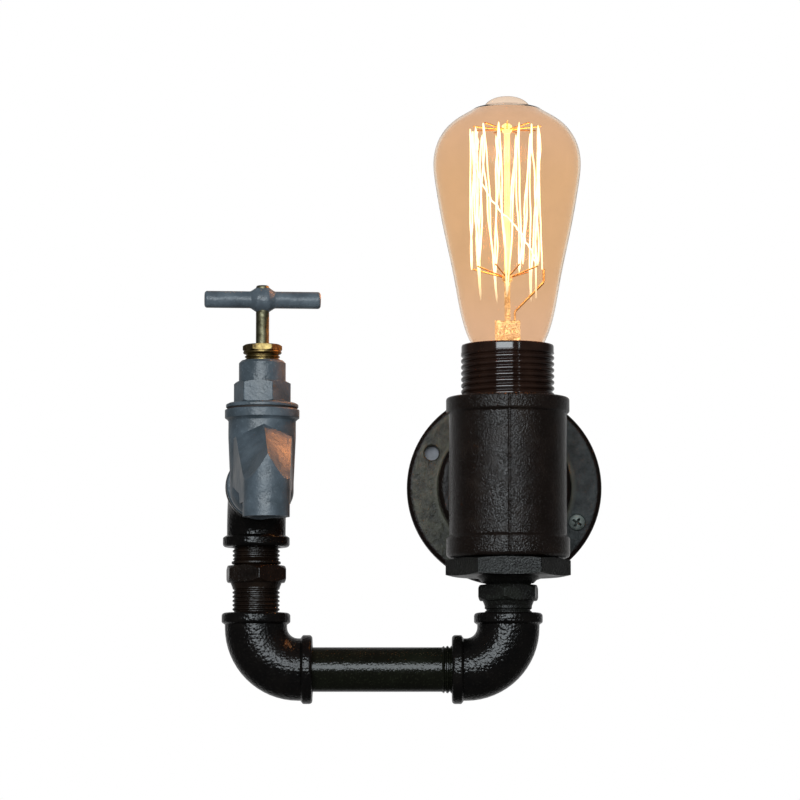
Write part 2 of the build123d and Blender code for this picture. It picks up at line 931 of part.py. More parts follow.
def tap_body():
    barrel = Pos(0, -spindle_reach, 0) * barrel_outline()
    ring_start = elbow_reach + inlet_ring_gap
    ring_end = ring_start + inlet_ring_width
    crest = pipe_thread_crest / 2
    inlet = turned(
        (0, elbow_seat),
        (crest - thread_lead_in, elbow_seat),
        *thread(
            crest,
            pipe_thread_depth,
            pipe_thread_pitch,
            elbow_seat + thread_lead_in,
            ring_start,
        ),
        (inlet_ring_diameter / 2, ring_start, edge_round),
        (inlet_ring_diameter / 2, ring_end, inlet_ring_round),
        (inlet_neck_diameter / 2, ring_end + inlet_ring_slope, edge_round),
        (inlet_neck_diameter / 2, spindle_reach - inlet_neck_overlap),
        (0, spindle_reach - inlet_neck_overlap),
    )
    casting = barrel + Rot(90, 0, 0) * inlet + spout_solid()
    lower_chamber = seat_height - seat_thickness
    chamber = chamber_diameter / 2
    below = chamber - lower_chamber_step
    seat = seat_bore / 2
    socket = bonnet_thread_crest / 2 + thread_clearance
    top = collar_top - inlet_z
    valve_bore = turned(
        (0, barrel_bottom + barrel_floor),
        (seat + lower_chamber_floor_widening, barrel_bottom + barrel_floor),
        (below, barrel_bottom + lower_chamber_base),
        (below, lower_chamber - lower_chamber_roof),
        (seat, lower_chamber),
        (seat, seat_height),
        (seat + seat_lip, seat_height),
        (seat + seat_lip + seat_bevel_width, seat_height - seat_bevel_depth),
        (chamber, seat_height - seat_bevel_depth),
        (chamber, top - bonnet_socket_depth),
        (socket, top - bonnet_socket_depth),
        (socket, top),
        (0, top),
    )
    casting -= Pos(0, -spindle_reach, 0) * valve_bore
    casting -= rod(inlet_bore, (0, -elbow_seat, 0), (0, -spindle_reach, 0))
    passage_start = (0, -spindle_reach - passage_back_reach, seat_height + passage_rise)
    passage_end = (0, -mouth_reach, passage_front_height)
    casting -= rod(spout_passage, passage_start, passage_end)
    outlet = turned(
        (0, mouth_height),
        (spout_bore / 2 + mouth_chamfer, mouth_height),
        (spout_bore / 2, mouth_height + mouth_chamfer),
        (spout_bore / 2, 0),
        (spout_passage / 2, passage_front_height),
        (0, passage_front_height),
    )
    casting -= Pos(0, -mouth_reach, 0) * outlet
    return on_tap(Pos(0, 0, inlet_z) * casting)


def bonnet_washer():
    inside = bonnet_thread_crest / 2 + thread_clearance
    outside = bonnet_flange_diameter / 2 - washer_setback
    return on_spindle(
        turned(
            (inside, collar_top),
            (outside, collar_top),
            (outside, washer_top),
            (inside, washer_top),
        )
    )


def bonnet():
    crest = bonnet_thread_crest / 2
    foot = collar_top - bonnet_socket_depth + bonnet_foot_gap
    barrel = bonnet_round_diameter / 2
    spindle_hole = spindle_bore / 2
    neck_hole = spindle_diameter / 2 + running_clearance
    gland = gland_thread_crest / 2 + thread_clearance
    bore_top = bonnet_hex_top - packing_web
    bore_foot = bore_top - spindle_bore_top
    flange = bonnet_flange_diameter / 2
    bevel = bonnet_hex_bottom - bonnet_flange_bevel_height
    body = turned(
        (spindle_hole + bonnet_foot_wall, foot),
        (crest - thread_lead_in, foot),
        *thread(crest, pipe_thread_depth, bonnet_thread_pitch, foot + thread_lead_in, collar_top),
        (crest, washer_top),
        (flange, washer_top, fine_round),
        (flange, bevel, edge_round),
        (flange - bonnet_flange_bevel_width, bonnet_hex_bottom, edge_round),
        (barrel, bonnet_hex_bottom + hexagon_sunk),
        (barrel, bonnet_top - bonnet_round_chamfer),
        (barrel - bonnet_round_chamfer, bonnet_top),
        (gland, bonnet_top),
        (gland, packing_floor_z),
        (neck_hole, packing_floor_z),
        (neck_hole, bore_top),
        (spindle_hole, bore_top),
        (spindle_hole, bore_foot),
        (spindle_hole + bonnet_foot_wall, bore_foot - bonnet_foot_wall),
    )
    core = Pos(0, 0, washer_top) * extrude(Circle(barrel - hexagon_sunk), bonnet_top - washer_top)
    hex_foot = bonnet_hex_bottom - hexagon_overlap
    skin = hexagon(bonnet_flats, hex_foot, bonnet_hex_top, bonnet_turn, bonnet_hex_chamfer)
    return on_spindle(body + (skin - core))


def gland_packing():
    inside = spindle_diameter / 2 + running_clearance
    outside = gland_thread_crest / 2
    top = packing_floor_z + packing_thickness
    return on_spindle(
        turned((inside, packing_floor_z), (outside, packing_floor_z), (outside, top), (inside, top))
    )


def gland_nut():
    crest = gland_thread_crest / 2
    foot = packing_floor_z + packing_thickness
    hole = spindle_diameter / 2 + running_clearance
    hex_bottom = gland_top - gland_hex_height
    ring = gland_ring_diameter / 2
    ring_bottom = hex_bottom - gland_ring_height
    body = turned(
        (hole, foot),
        (crest - gland_lead_in, foot),
        *thread(crest, gland_thread_depth, gland_thread_pitch, foot + gland_lead_in, ring_bottom),
        (ring, ring_bottom, fine_round),
        (ring, hex_bottom, fine_round),
        (crest - gland_lead_in, hex_bottom),
        (crest - gland_lead_in, gland_top),
        (hole + gland_eye_chamfer, gland_top),
        (hole, gland_top - gland_eye_chamfer),
    )
    core = Pos(0, 0, hex_bottom) * extrude(Circle(crest - gland_core_inset), gland_hex_height)
    skin = hexagon(gland_flats, hex_bottom, gland_top, gland_turn, gland_hex_chamfer)
    return on_spindle(body + (skin - core))


def spindle():
    head = spindle_head_diameter / 2
    crest = spindle_bore / 2 - running_clearance
    stem = spindle_diameter / 2
    socket = jumper_stem_diameter / 2 + running_clearance
    socket_top = spindle_z + jumper_stem_length + jumper_socket_gap
    thread_start = spindle_z + spindle_head_height
    thread_end = bonnet_hex_top - packing_web - valve_stop_gap
    tip = handle_z + handle_hub_diameter / 2 + spindle_tip
    pin = rod(handle_pin_diameter, (0, -spindle_diameter, handle_z), (0, spindle_diameter, handle_z))
    return on_spindle(
        turned(
            (socket, spindle_z),
            (head, spindle_z, edge_round),
            (head, thread_start, edge_round),
            (crest - spindle_thread_depth, thread_start),
            *thread(
                crest,
                spindle_thread_depth,
                spindle_thread_pitch,
                thread_start + spindle_thread_start_gap,
                thread_end - spindle_thread_end_gap,
            ),
            (crest - spindle_thread_depth, thread_end),
            (stem, thread_end),
            (stem, tip, spindle_tip_round),
            (0, tip),
            (0, socket_top),
            (socket, socket_top),
        )
        - pin
    )


def tap_handle():
    bar_end = handle_length / 2
    bar = handle_bar_diameter / 2
    hub = handle_hub_diameter / 2
    piece = Rot(0, 90, 0) * turned(
        (0, -bar_end),
        (bar, -bar_end, handle_end_round),
        (bar, -handle_hub_foot, handle_hub_foot_round),
        (hub, -handle_hub_flat, handle_hub_round),
        (hub, handle_hub_flat, handle_hub_round),
        (bar, handle_hub_foot, handle_hub_foot_round),
        (bar, bar_end, handle_end_round),
        (0, bar_end),
    )
    eye = rod(spindle_diameter, (0, 0, -2 * hub), (0, 0, 2 * hub))
    pin_hole = rod(handle_pin_diameter, (0, -2 * hub, 0), (0, 2 * hub, 0))
    return on_spindle(Pos(0, 0, handle_z) * (piece - eye - pin_hole))


def handle_pin():
    end = handle_hub_diameter / 2 - handle_pin_sunk
    return on_spindle(Pos(0, 0, handle_z) * rod(handle_pin_diameter, (0, -end, 0), (0, end, 0)))


def jumper_valve():
    stem = jumper_stem_diameter / 2
    stud = jumper_stud_diameter / 2
    disc = jumper_disc_diameter / 2
    top = disc_z + jumper_disc_thickness
    low = washer_z - jumper_nut_height - jumper_stud_tip
    return on_spindle(
        turned(
            (0, low),
            (stud, low, fine_round),
            (stud, disc_z),
            (disc, disc_z),
            (disc, top, edge_round),
            (stem, top),
            (stem, top + jumper_stem_length, edge_round),
            (0, top + jumper_stem_length),
        )
    )


def jumper_washer():
    return on_spindle(
        turned(
            (jumper_stud_diameter / 2, washer_z),
            (jumper_washer_diameter / 2, washer_z, edge_round),
            (jumper_washer_diameter / 2, disc_z),
            (jumper_stud_diameter / 2, disc_z),
        )
    )


def jumper_nut():
    nut = hexagon(
        jumper_nut_flats, washer_z - jumper_nut_height, washer_z, 0, jumper_nut_chamfer
    )
    eye = Pos(0, 0, washer_z - jumper_nut_height) * extrude(
        Circle(jumper_stud_diameter / 2), jumper_nut_height
    )
    return on_spindle(nut - eye)


# Lampholder


def holder_skirt():
    crest = holder_thread_crest / 2
    band = holder_band_diameter / 2
    mouth = holder_mouth / 2
    ridges_end = holder_rim - holder_plain_band
    ridges = thread(crest, holder_thread_depth, holder_thread_pitch, skirt_bottom, ridges_end)
    return on_tee(
        turned(
            (skirt_wall_inside, skirt_bottom),
            (crest - holder_thread_depth, skirt_bottom),
            *ridges,
            (band, ridges_end),
            (band, holder_rim, holder_mouth_round),
            (mouth, holder_rim, holder_mouth_round),
            (mouth, shell_top + holder_lip_height),
            (holder_lip_bore / 2, shell_top + holder_lip_height),
            (holder_lip_bore / 2, shell_top),
            (skirt_wall_inside, shell_top),
        )
    )


def holder_cup():
    flange = holder_thread_crest / 2 - cup_flange_inset
    outside = cup_diameter / 2
    spigot = skirt_wall_inside - cup_spigot_gap
    inside = outside - cup_wall
    hole = cable_bush_bore / 2 + cable_bush_wall
    return on_tee(
        turned(
            (hole, cup_bottom),
            (outside, cup_bottom, cup_foot_round),
            (outside, cup_seat),
            (flange, cup_seat),
            (flange, skirt_bottom),
            (spigot, skirt_bottom),
            (spigot, core_bottom),
            (inside, core_bottom),
            (inside, cup_bottom + cup_wall),
            (hole, cup_bottom + cup_wall),
        )
    )


def cable_bush():
    bore = cable_bush_bore / 2
    tube = bore + cable_bush_wall
    flange = cable_bush_flange / 2
    low = cup_bottom - cable_bush_lip
    high = cup_bottom + cup_wall + cable_bush_inner_lip
    return on_tee(
        turned(
            (bore, low, fine_round),
            (flange, low, edge_round),
            (flange, cup_bottom),
            (tube, cup_bottom),
            (tube, high),
            (bore, high, fine_round),
        )
    )


def porcelain_core():
    outside = skirt_wall_inside - core_gap
    disc = turned(
        (0, core_bottom),
        (outside, core_bottom),
        (outside, core_top, edge_round),
        (0, core_top),
    )
    for reach, diameter in ((0, contact_rivet_diameter), (shell_rivet_reach, shell_rivet_diameter)):
        disc -= rod(diameter, (reach, 0, core_bottom), (reach, 0, core_top))
    return on_tee(disc)


def screw_shell():
    clear = bulb_thread_crest / 2 + shell_bulb_clearance
    outer = clear + shell_wall
    flange = shell_flange_diameter / 2
    base = core_top + shell_wall
    wave_start = base + shell_plain_end
    wave_end = shell_top - shell_plain_end
    outer_waves = thread(outer + shell_wave, shell_wave, bulb_thread_pitch, wave_start, wave_end)
    inner_waves = thread(clear + shell_wave, shell_wave, bulb_thread_pitch, wave_start, wave_end)
    shell = turned(
        (shell_base_bore / 2, core_top),
        (outer, core_top, fine_round),
        (outer, wave_start),
        *outer_waves,
        (outer, wave_end),
        (outer, shell_top - shell_wall),
        (flange, shell_top - shell_wall),
        (flange, shell_top),
        (clear, shell_top),
        (clear, wave_end),
        *reversed(inner_waves),
        (clear, wave_start),
        (clear, base),
        (shell_base_bore / 2, base),
    )
    hole = rod(shell_rivet_diameter, (shell_rivet_reach, 0, core_top), (shell_rivet_reach, 0, base))
    return on_tee(shell - hole)


def shell_rivet():
    shank = shell_rivet_diameter / 2
    head = core_top + shell_wall
    rivet = turned(
        (0, core_bottom),
        (shank, core_bottom),
        (shank, head),
        (shank + shell_rivet_overhang, head),
        (shank + shell_rivet_overhang - rivet_bevel, head + shell_rivet_head),
        (0, head + shell_rivet_head + rivet_gap),
    )
    return on_tee(Pos(shell_rivet_reach, 0, 0) * rivet)


def centre_contact():
    """A strip riveted to the ceramic, both its ends folded back over it as springs."""
    half = contact_width / 2
    thick = contact_strip
    strip = SlotOverall(contact_width + 2 * contact_strip_overhang, contact_strip_width)
    base = Pos(0, 0, core_top) * extrude(strip, thick)
    base -= rod(contact_rivet_diameter, (0, 0, core_top), (0, 0, core_top + thick))
    for side in (-1, 1):
        fold = Box(
            contact_fold_length,
            contact_fold_width,
            thick,
            align=(Align.CENTER, Align.CENTER, Align.MIN),
        )
        base += Pos(side * (half - contact_fold_inset), 0, core_top + thick) * fold
    return on_tee(base)


def contact_rivet():
    shank = contact_rivet_diameter / 2
    head = core_top + contact_strip
    return on_tee(
        turned(
            (0, core_bottom),
            (shank, core_bottom),
            (shank, head),
            (shank + contact_rivet_overhang, head),
            (shank + contact_rivet_overhang - rivet_bevel, head + contact_strip - rivet_gap),
            (0, head + contact_strip - rivet_gap),
        )
    )


def terminal(side):
    """A brass terminal under the ceramic disc, reaching in to its rivet."""
    place = side * terminal_reach
    block = Pos(place, 0, terminal_bottom) * Box(
        terminal_width,
        terminal_length,
        terminal_height,
        align=(Align.CENTER, Align.CENTER, Align.MIN),
    )
    if side < 0:
        tab = Box(
            terminal_reach + terminal_tab_overhang,
            terminal_tab_width,
            terminal_tab_thickness,
            align=(Align.CENTER, Align.CENTER, Align.MAX),
        )
        block += Pos(place / 2, 0, core_bottom) * tab
    front = (place, -terminal_length / 2, terminal_screw_z)
    return on_tee(block - rod(terminal_screw_diameter, front, (place, 0, terminal_screw_z)))


def terminal_screws():
    screws = []
    for side in (-1, 1):
        place = side * terminal_reach
        end = (place, 0, terminal_screw_z)
        neck = (place, -terminal_length / 2, terminal_screw_z)
        top = (place, -terminal_length / 2 - terminal_screw_head_height, terminal_screw_z)
        screw = rod(terminal_screw_diameter, neck, end) + rod(terminal_screw_head, top, neck)
        slot = Box(terminal_screw_head, 2 * terminal_slot_depth, terminal_slot_width)
        screws.append(on_tee(screw - Pos(*top) * slot))
    return Compound(children=screws)


# Bulb


def above_contact(piece):
    """Place a bulb piece, modelled from the contact's lowest point, on the tee's axis."""
    return Pos(0, tee_axis_y, bulb_base) * piece


def bulb_contact():
    radius = bulb_contact_diameter / 2
    return above_contact(
        turned(
            (0, 0),
            (bulb_contact_crown / 2, 0, edge_round),
            (radius, bulb_contact_edge, fine_round),
            (radius, bulb_insulator_bottom),
            (0, bulb_insulator_bottom),
        )
    )


def bulb_insulator():
    low = bulb_contact_diameter / 2 + bulb_insulator_lip
    inside_cap = bulb_thread_crest / 2 - bulb_thread_depth - bulb_cap_wall - 2 * face_gap
    high = inside_cap - bulb_insulator_shoulder
    return above_contact(
        turned(
            (0, bulb_insulator_bottom),
            (low, bulb_insulator_bottom, edge_round),
            (high, bulb_insulator_top - face_gap, fine_round),
            (high, bulb_insulator_top + bulb_insulator_rise),
            (0, bulb_insulator_top + bulb_insulator_rise),
        )
    )


def bulb_cap():
    crest = bulb_thread_crest / 2
    root = crest - bulb_thread_depth
    lower = root - bulb_cap_wall
    seat = lower - bulb_insulator_shoulder + face_gap
    neck = glass_neck_diameter / 2 + glass_cement_gap
    rim = bulb_cap_rim / 2
    ridges = thread(crest, bulb_thread_depth, bulb_thread_pitch, bulb_thread_start, bulb_thread_end)
    return above_contact(
        turned(
            (seat, bulb_insulator_top),
            (root - bulb_cap_foot_bevel, bulb_insulator_top),
            (root, bulb_thread_start - bulb_thread_foot_gap),
            *ridges,
            (root + bulb_cap_shoulder, bulb_thread_end),
            (neck + bulb_cap_wall, glass_neck_bottom),
            (rim, bulb_cap_height - bulb_cap_shoulder),
            (rim, bulb_cap_height),
            (neck, bulb_cap_height),
            (neck, glass_neck_bottom),
            (lower, glass_neck_bottom),
            (lower, bulb_insulator_top + bulb_cap_wall),
            (seat, bulb_insulator_top + bulb_cap_wall),
        )
    )


def glass_half_section():
    """Half of the bulb's shell in the plane Y = 0: outer curve, tip, inner curve and neck."""
    wall = glass_wall
    neck = glass_neck_diameter / 2
    outer = [Vector(radius, 0, height) for radius, height in glass_outline]
    inner = []
    for number, point in enumerate(outer):
        before = outer[max(number - 1, 0)]
        after = outer[min(number + 1, len(outer) - 1)]
        along = (after - before).normalized()
        inner.append(point + Vector(-along.Z, 0, along.X) * wall)
    inner_top = (0, 0, outer[-1].Z + glass_crown_rise - wall)
    tip = (0, 0, glass_tip_height)
    shoulder = (glass_tip_shoulder[0], 0, glass_tip_shoulder[1])
    outside = Spline(*outer, tangents=(glass_neck_direction, glass_dome_direction))
    nub = Spline(outer[-1], shoulder, tip, tangents=(glass_nub_direction, glass_tip_direction))
    crown = Spline(inner[-1], inner_top, tangents=(glass_dome_direction, glass_tip_direction))
    inside = Spline(*inner, tangents=(glass_neck_direction, glass_dome_direction))
    outline = [
        Line((neck, 0, glass_neck_bottom), outer[0]),
        outside,
        nub,
        Line(tip, inner_top),
        crown,
        inside,
        Line(inner[0], (neck - wall, 0, glass_neck_bottom)),
        Line((neck - wall, 0, glass_neck_bottom), (neck, 0, glass_neck_bottom)),
    ]
    return make_face(outline)


def bulb_glass():
    return above_contact(revolve(glass_half_section(), axis=Axis.Z))


def bulb_stem():
    """The flared tube fused into the neck, its flat press, and the rod with its two buttons."""
    flare = glass_neck_diameter / 2 - glass_wall
    tube = stem_tube_diameter / 2
    base = glass_neck_bottom
    bead = stem_button_diameter / 2
    pin = stem_rod_diameter / 2
    rod_top = cage_top + stem_rod_top
    inner = tube - stem_wall
    lower_button = cage_bottom - stem_lower_button_drop
    upper_button = cage_top + stem_upper_button_rise
    stem = turned(
        (flare - stem_wall, base),
        (flare, base),
        (flare, base + stem_flare_edge),
        (tube, base + stem_flare_height, stem_flare_round),
        (tube, stem_press_bottom + stem_end_thickness),
        (0, stem_press_bottom + stem_end_thickness),
        (0, stem_press_bottom),
        (inner, stem_press_bottom - stem_end_thickness),
        (inner, base + stem_flare_height - stem_wall, stem_flare_round),
    )
    press = Pos(0, 0, stem_press_bottom) * Box(
        stem_press_width,
        stem_press_thickness,
        stem_press_top - stem_press_bottom,
        align=(Align.CENTER, Align.CENTER, Align.MIN),
    )
    stem += press
    stem += turned(
        (0, stem_press_top - stem_rod_hold),
        (pin, stem_press_top - stem_rod_hold),
        (pin, lower_button - stem_button_flat - stem_button_slope),
        (bead, lower_button - stem_button_flat, edge_round),
        (bead, lower_button, edge_round),
        (pin, lower_button + stem_button_slope),
        (pin, upper_button - stem_upper_button_flat - stem_button_slope),
        (bead, upper_button - stem_upper_button_flat, edge_round),
        (bead, upper_button, edge_round),
        (pin, rod_top),
        (0, rod_top),
    )
    return above_contact(stem)


def cage_points():
    """The filament's corners round the cage, low and high by turns, starting at its right side."""
    corners = 2 * cage_hairpins
    points = []
    for number in range(corners):
        angle = math.radians(cage_gap / 2 + number * (360 - cage_gap) / (corners - 1))
        height = cage_bottom if number % 2 == 0 else cage_top
        x = cage_diameter / 2 * math.cos(angle)
        y = cage_diameter / 2 * math.sin(angle)
        points.append((x, y, height))
    # both ends are at the bottom, where the lead wires meet them
    points.append((points[-1][0], points[-1][1] + filament_end_gap, cage_bottom))
    return points


def filament():
    return above_contact(wire_along(filament_diameter, cage_points(), cage_corner))


def filament_supports():
    """Wires from the rod's buttons out to the filament's corners."""
    points = cage_points()[1:-1]
    wires = []
    for x, y, height in points:
        inward = (cage_diameter / 2 - filament_diameter / 2 - cage_corner) / (cage_diameter / 2)
        button = (stem_button_diameter / 2 + support_stand_off) / (cage_diameter / 2)
        upper = height == cage_top
        root = cage_top - support_upper_root if upper else cage_bottom - support_lower_root
        start = (x * button, y * button, root)
        end = (x * inward, y * inward, height)
        wires.append(above_contact(rod(support_diameter, start, end)))
    return Compound(children=wires)


def bulb_leads():
    """The two lead wires from the press to the filament's ends."""
    points = cage_points()
    wires = []
    for side, end in ((1, points[0]), (-1, points[-1])):
        start = (bulb_lead_spread, side * bulb_lead_gap, stem_press_top)
        straight = (bulb_lead_spread, side * bulb_lead_gap, stem_press_top + bulb_lead_straight)
        below = (end[0], end[1], end[2] - bulb_lead_drop)
        tip = (end[0], end[1], end[2] - filament_diameter / 2)
        wire = wire_along(bulb_lead_diameter, [start, straight, below, tip], bulb_lead_bend)
        wires.append(above_contact(wire))
    return Compound(children=wires)


# Wiring


def lead(side, way):
    """A lead from a way of the terminal block, through the fittings, to a holder terminal."""
    x = side * lead_spacing
    block_x = way * block_pitch
    out_x = side * terminal_reach
    route = [
        (block_x, block_y, lead_start),
        (block_x, block_y, block_offset - lead_below_block),
        (x, -cavity_depth - lead_cavity_gap, -lead_drop),
        (x, tee_axis_y, -lead_drop),
        (x, tee_axis_y, cup_bottom + cup_wall + lead_above_cup),
        (out_x, tee_axis_y, terminal_bottom - lead_below_terminal),
        (out_x, tee_axis_y, terminal_bottom),
    ]
    bends = [lead_small_bend, lead_small_bend, lead_bend, lead_tight_bend, lead_tight_bend]
    return wire_along(lead_diameter, route, bends)


def earth_lead():
    x = -block_pitch
    crimp_y = -cavity_depth + earth_crimp_diameter / 2
    end = -earth_tag_reach + earth_tag_width / 2 + earth_crimp_gap + earth_crimp_end
    route = [
        (x, block_y, lead_start),
        (x, block_y, block_offset - lead_small_bend),
        (x, crimp_y, 0),
        (end, crimp_y, 0),
    ]
    return wire_along(lead_diameter, route, [lead_small_bend, lead_tight_bend])


def terminal_block():
    block = Pos(0, block_y, block_z) * Box(block_length, block_depth, block_height)
    access = block_screw_diameter + block_screw_clearance
    for way in (-1, 0, 1):
        x = way * block_pitch
        low = (x, block_y, block_offset)
        high = (x, block_y, block_offset + block_height)
        block -= rod(block_clamp_diameter, low, high)
        block -= rod(access, (x, 0, block_z), (x, block_y, block_z))
    back = block_y + block_depth / 2
    for side in (-1, 1):
        x = side * block_pitch / 2
        block -= rod(block_fixing_diameter, (x, -cavity_depth, block_z), (x, back, block_z))
        recess = (x, back - block_fixing_head_height, block_z)
        block -= rod(block_fixing_head, recess, (x, back, block_z))
    return block


def block_clamps():
    clamps = []
    for way in (-1, 0, 1):
        x = way * block_pitch
        low = (x, block_y, block_offset)
        high = (x, block_y, block_offset + block_height)
        clamp = rod(block_clamp_diameter, low, high) - rod(block_clamp_bore, low, high)
        clamp -= rod(block_screw_diameter, (x, 0, block_z), (x, block_y, block_z))
        clamps.append(clamp)
    return Compound(children=clamps)


def block_screws():
    screws = []
    for way in (-1, 0, 1):
        x = way * block_pitch
        foot = block_y + lead_diameter / 2
        head = foot + block_screw_length
        screw = rod(block_screw_diameter, (x, head, block_z), (x, foot, block_z))
        slot = Box(block_screw_diameter, 2 * block_slot_depth, block_slot_width)
        screws.append(screw - Pos(x, head, block_z) * slot)
    return Compound(children=screws)


def block_fixing():
    x = block_pitch / 2
    back = block_y + block_depth / 2
    neck = back - block_fixing_head_height
    end = -cavity_depth - block_fixing_hold
    screw = rod(block_fixing_diameter, (x, end, block_z), (x, neck, block_z))
    screw += rod(block_fixing_head, (x, neck, block_z), (x, back, block_z))
    slot = Box(block_fixing_head, 2 * block_fixing_slot_depth, block_fixing_slot_width)
    return screw - Pos(x, back, block_z) * slot


def earth_tag():
    """A ring under the earth screw with a crimped barrel for the lead."""
    floor = -cavity_depth
    face = floor + earth_tag_thickness
    x = -earth_tag_reach
    ring = rod(earth_tag_width, (x, floor, 0), (x, face, 0))
    crimp_y = floor + earth_crimp_diameter / 2
    start = x + earth_tag_width / 2 + earth_crimp_gap
    end = start + earth_crimp_length
    neck = Box(
        earth_crimp_neck,
        earth_tag_thickness,
        earth_crimp_neck_width,
        align=(Align.CENTER, Align.MIN, Align.CENTER),
    )
    barrel = rod(earth_crimp_diameter, (start, crimp_y, 0), (end, crimp_y, 0))
    hole = rod(lead_diameter, (start + earth_crimp_end, crimp_y, 0), (end, crimp_y, 0))
    tag = ring + Pos(start, floor, 0) * neck + barrel - hole
    return tag - rod(earth_screw_diameter, (x, floor, 0), (x, face, 0))


def earth_screw():
    x = -earth_tag_reach
    neck = -cavity_depth + earth_tag_thickness
    head = neck + earth_screw_head_height
    screw = rod(earth_screw_diameter, (x, -cavity_depth - earth_screw_hold, 0), (x, neck, 0))
    screw += rod(earth_screw_head, (x, neck, 0), (x, head, 0))
    slot = Box(earth_screw_head, 2 * earth_slot_depth, earth_slot_width)
    return screw - Pos(x, head, 0) * slot


makers = [
    wall_flange,
    wall_nipple,
    tee,
    reducing_bush,
    right_hex_nipple,
    right_elbow,
    cross_pipe,
    left_elbow,
    left_hex_nipple,
    tap_elbow,
    tap_body,
    bonnet_washer,
    bonnet,
    gland_packing,
    gland_nut,
    spindle,
    tap_handle,
    handle_pin,
    jumper_valve,
    jumper_washer,
    jumper_nut,
    holder_skirt,
    holder_cup,
    cable_bush,
    porcelain_core,
    screw_shell,
    shell_rivet,
    centre_contact,
    contact_rivet,
    terminal_screws,
    bulb_contact,
    bulb_insulator,
    bulb_cap,
    bulb_glass,
    bulb_stem,
    filament,
    filament_supports,
    bulb_leads,
    earth_lead,
    terminal_block,
    block_clamps,
    block_screws,
    block_fixing,
    earth_tag,
    earth_screw,
]
pieces = {make.__name__: make() for make in makers}
pieces["live_terminal"] = terminal(-1)
pieces["neutral_terminal"] = terminal(1)
pieces["live_lead"] = lead(-1, 0)
pieces["neutral_lead"] = lead(1, 1)

os.makedirs("parts", exist_ok=True)
for name, piece in pieces.items():
    export_step(piece, f"parts/{name}.step")
    print(name, round(piece.volume, 1))
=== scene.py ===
import math

import bmesh
import bpy
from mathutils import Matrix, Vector


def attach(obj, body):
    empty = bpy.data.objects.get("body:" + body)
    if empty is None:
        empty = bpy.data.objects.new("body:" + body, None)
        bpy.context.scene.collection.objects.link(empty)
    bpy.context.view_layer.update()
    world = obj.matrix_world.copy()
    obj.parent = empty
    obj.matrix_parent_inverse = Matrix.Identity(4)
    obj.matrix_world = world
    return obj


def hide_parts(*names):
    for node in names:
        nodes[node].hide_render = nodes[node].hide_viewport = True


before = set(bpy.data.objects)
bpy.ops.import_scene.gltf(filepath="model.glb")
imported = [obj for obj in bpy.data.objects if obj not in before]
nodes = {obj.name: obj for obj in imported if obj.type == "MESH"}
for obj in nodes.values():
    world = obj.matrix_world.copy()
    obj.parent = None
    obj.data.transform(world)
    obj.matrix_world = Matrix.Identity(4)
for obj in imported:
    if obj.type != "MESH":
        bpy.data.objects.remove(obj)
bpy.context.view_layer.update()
mm = 0.001
teeAxis = -62 * mm  # the upright axis of tee, holder and bulb stands this far out from the wall
print("frame loaded:", len(nodes), "nodes")


# Adds one node with its settings and links; stops are a colour ramp's positions and colours
def addNode(tree, kind, inputs=None, stops=None, **settings):
    made = tree.nodes.new(kind)
    for name, value in settings.items():
        setattr(made, name, value)
    for socket, value in (inputs or {}).items():
        if isinstance(value, bpy.types.NodeSocket):
            tree.links.new(value, made.inputs[socket])
        else:
            made.inputs[socket].default_value = value
    if stops:
        band = made.color_ramp.elements
        band[0].position, band[1].position = stops[0][0], stops[-1][0]
        for position, tone in stops[1:-1]:
            band.new(position)
        for step, (position, tone) in zip(band, stops):
            step.color = colour(tone)
    return made


# sRGB hex to linear
def colour(hexCode):
    channels = [int(hexCode[i : i + 2], 16) / 255 for i in (0, 2, 4)]
    linear = [c / 12.92 if c <= 0.04045 else ((c + 0.055) / 1.055) ** 2.4 for c in channels]
    return (*linear, 1.0)


def newMaterial(name):
    material = bpy.data.materials.new(name)
    material.use_nodes = True
    tree = material.node_tree
    tree.nodes.clear()
    shader = addNode(tree, "ShaderNodeBsdfPrincipled")
    addNode(tree, "ShaderNodeOutputMaterial", {"Surface": shader.outputs["BSDF"]})
    place = addNode(tree, "ShaderNodeTexCoord").outputs["Object"]
    return material, tree, shader, place


def finish(material, *names):
    for name in names:
        nodes[name].data.materials.clear()
        nodes[name].data.materials.append(material)


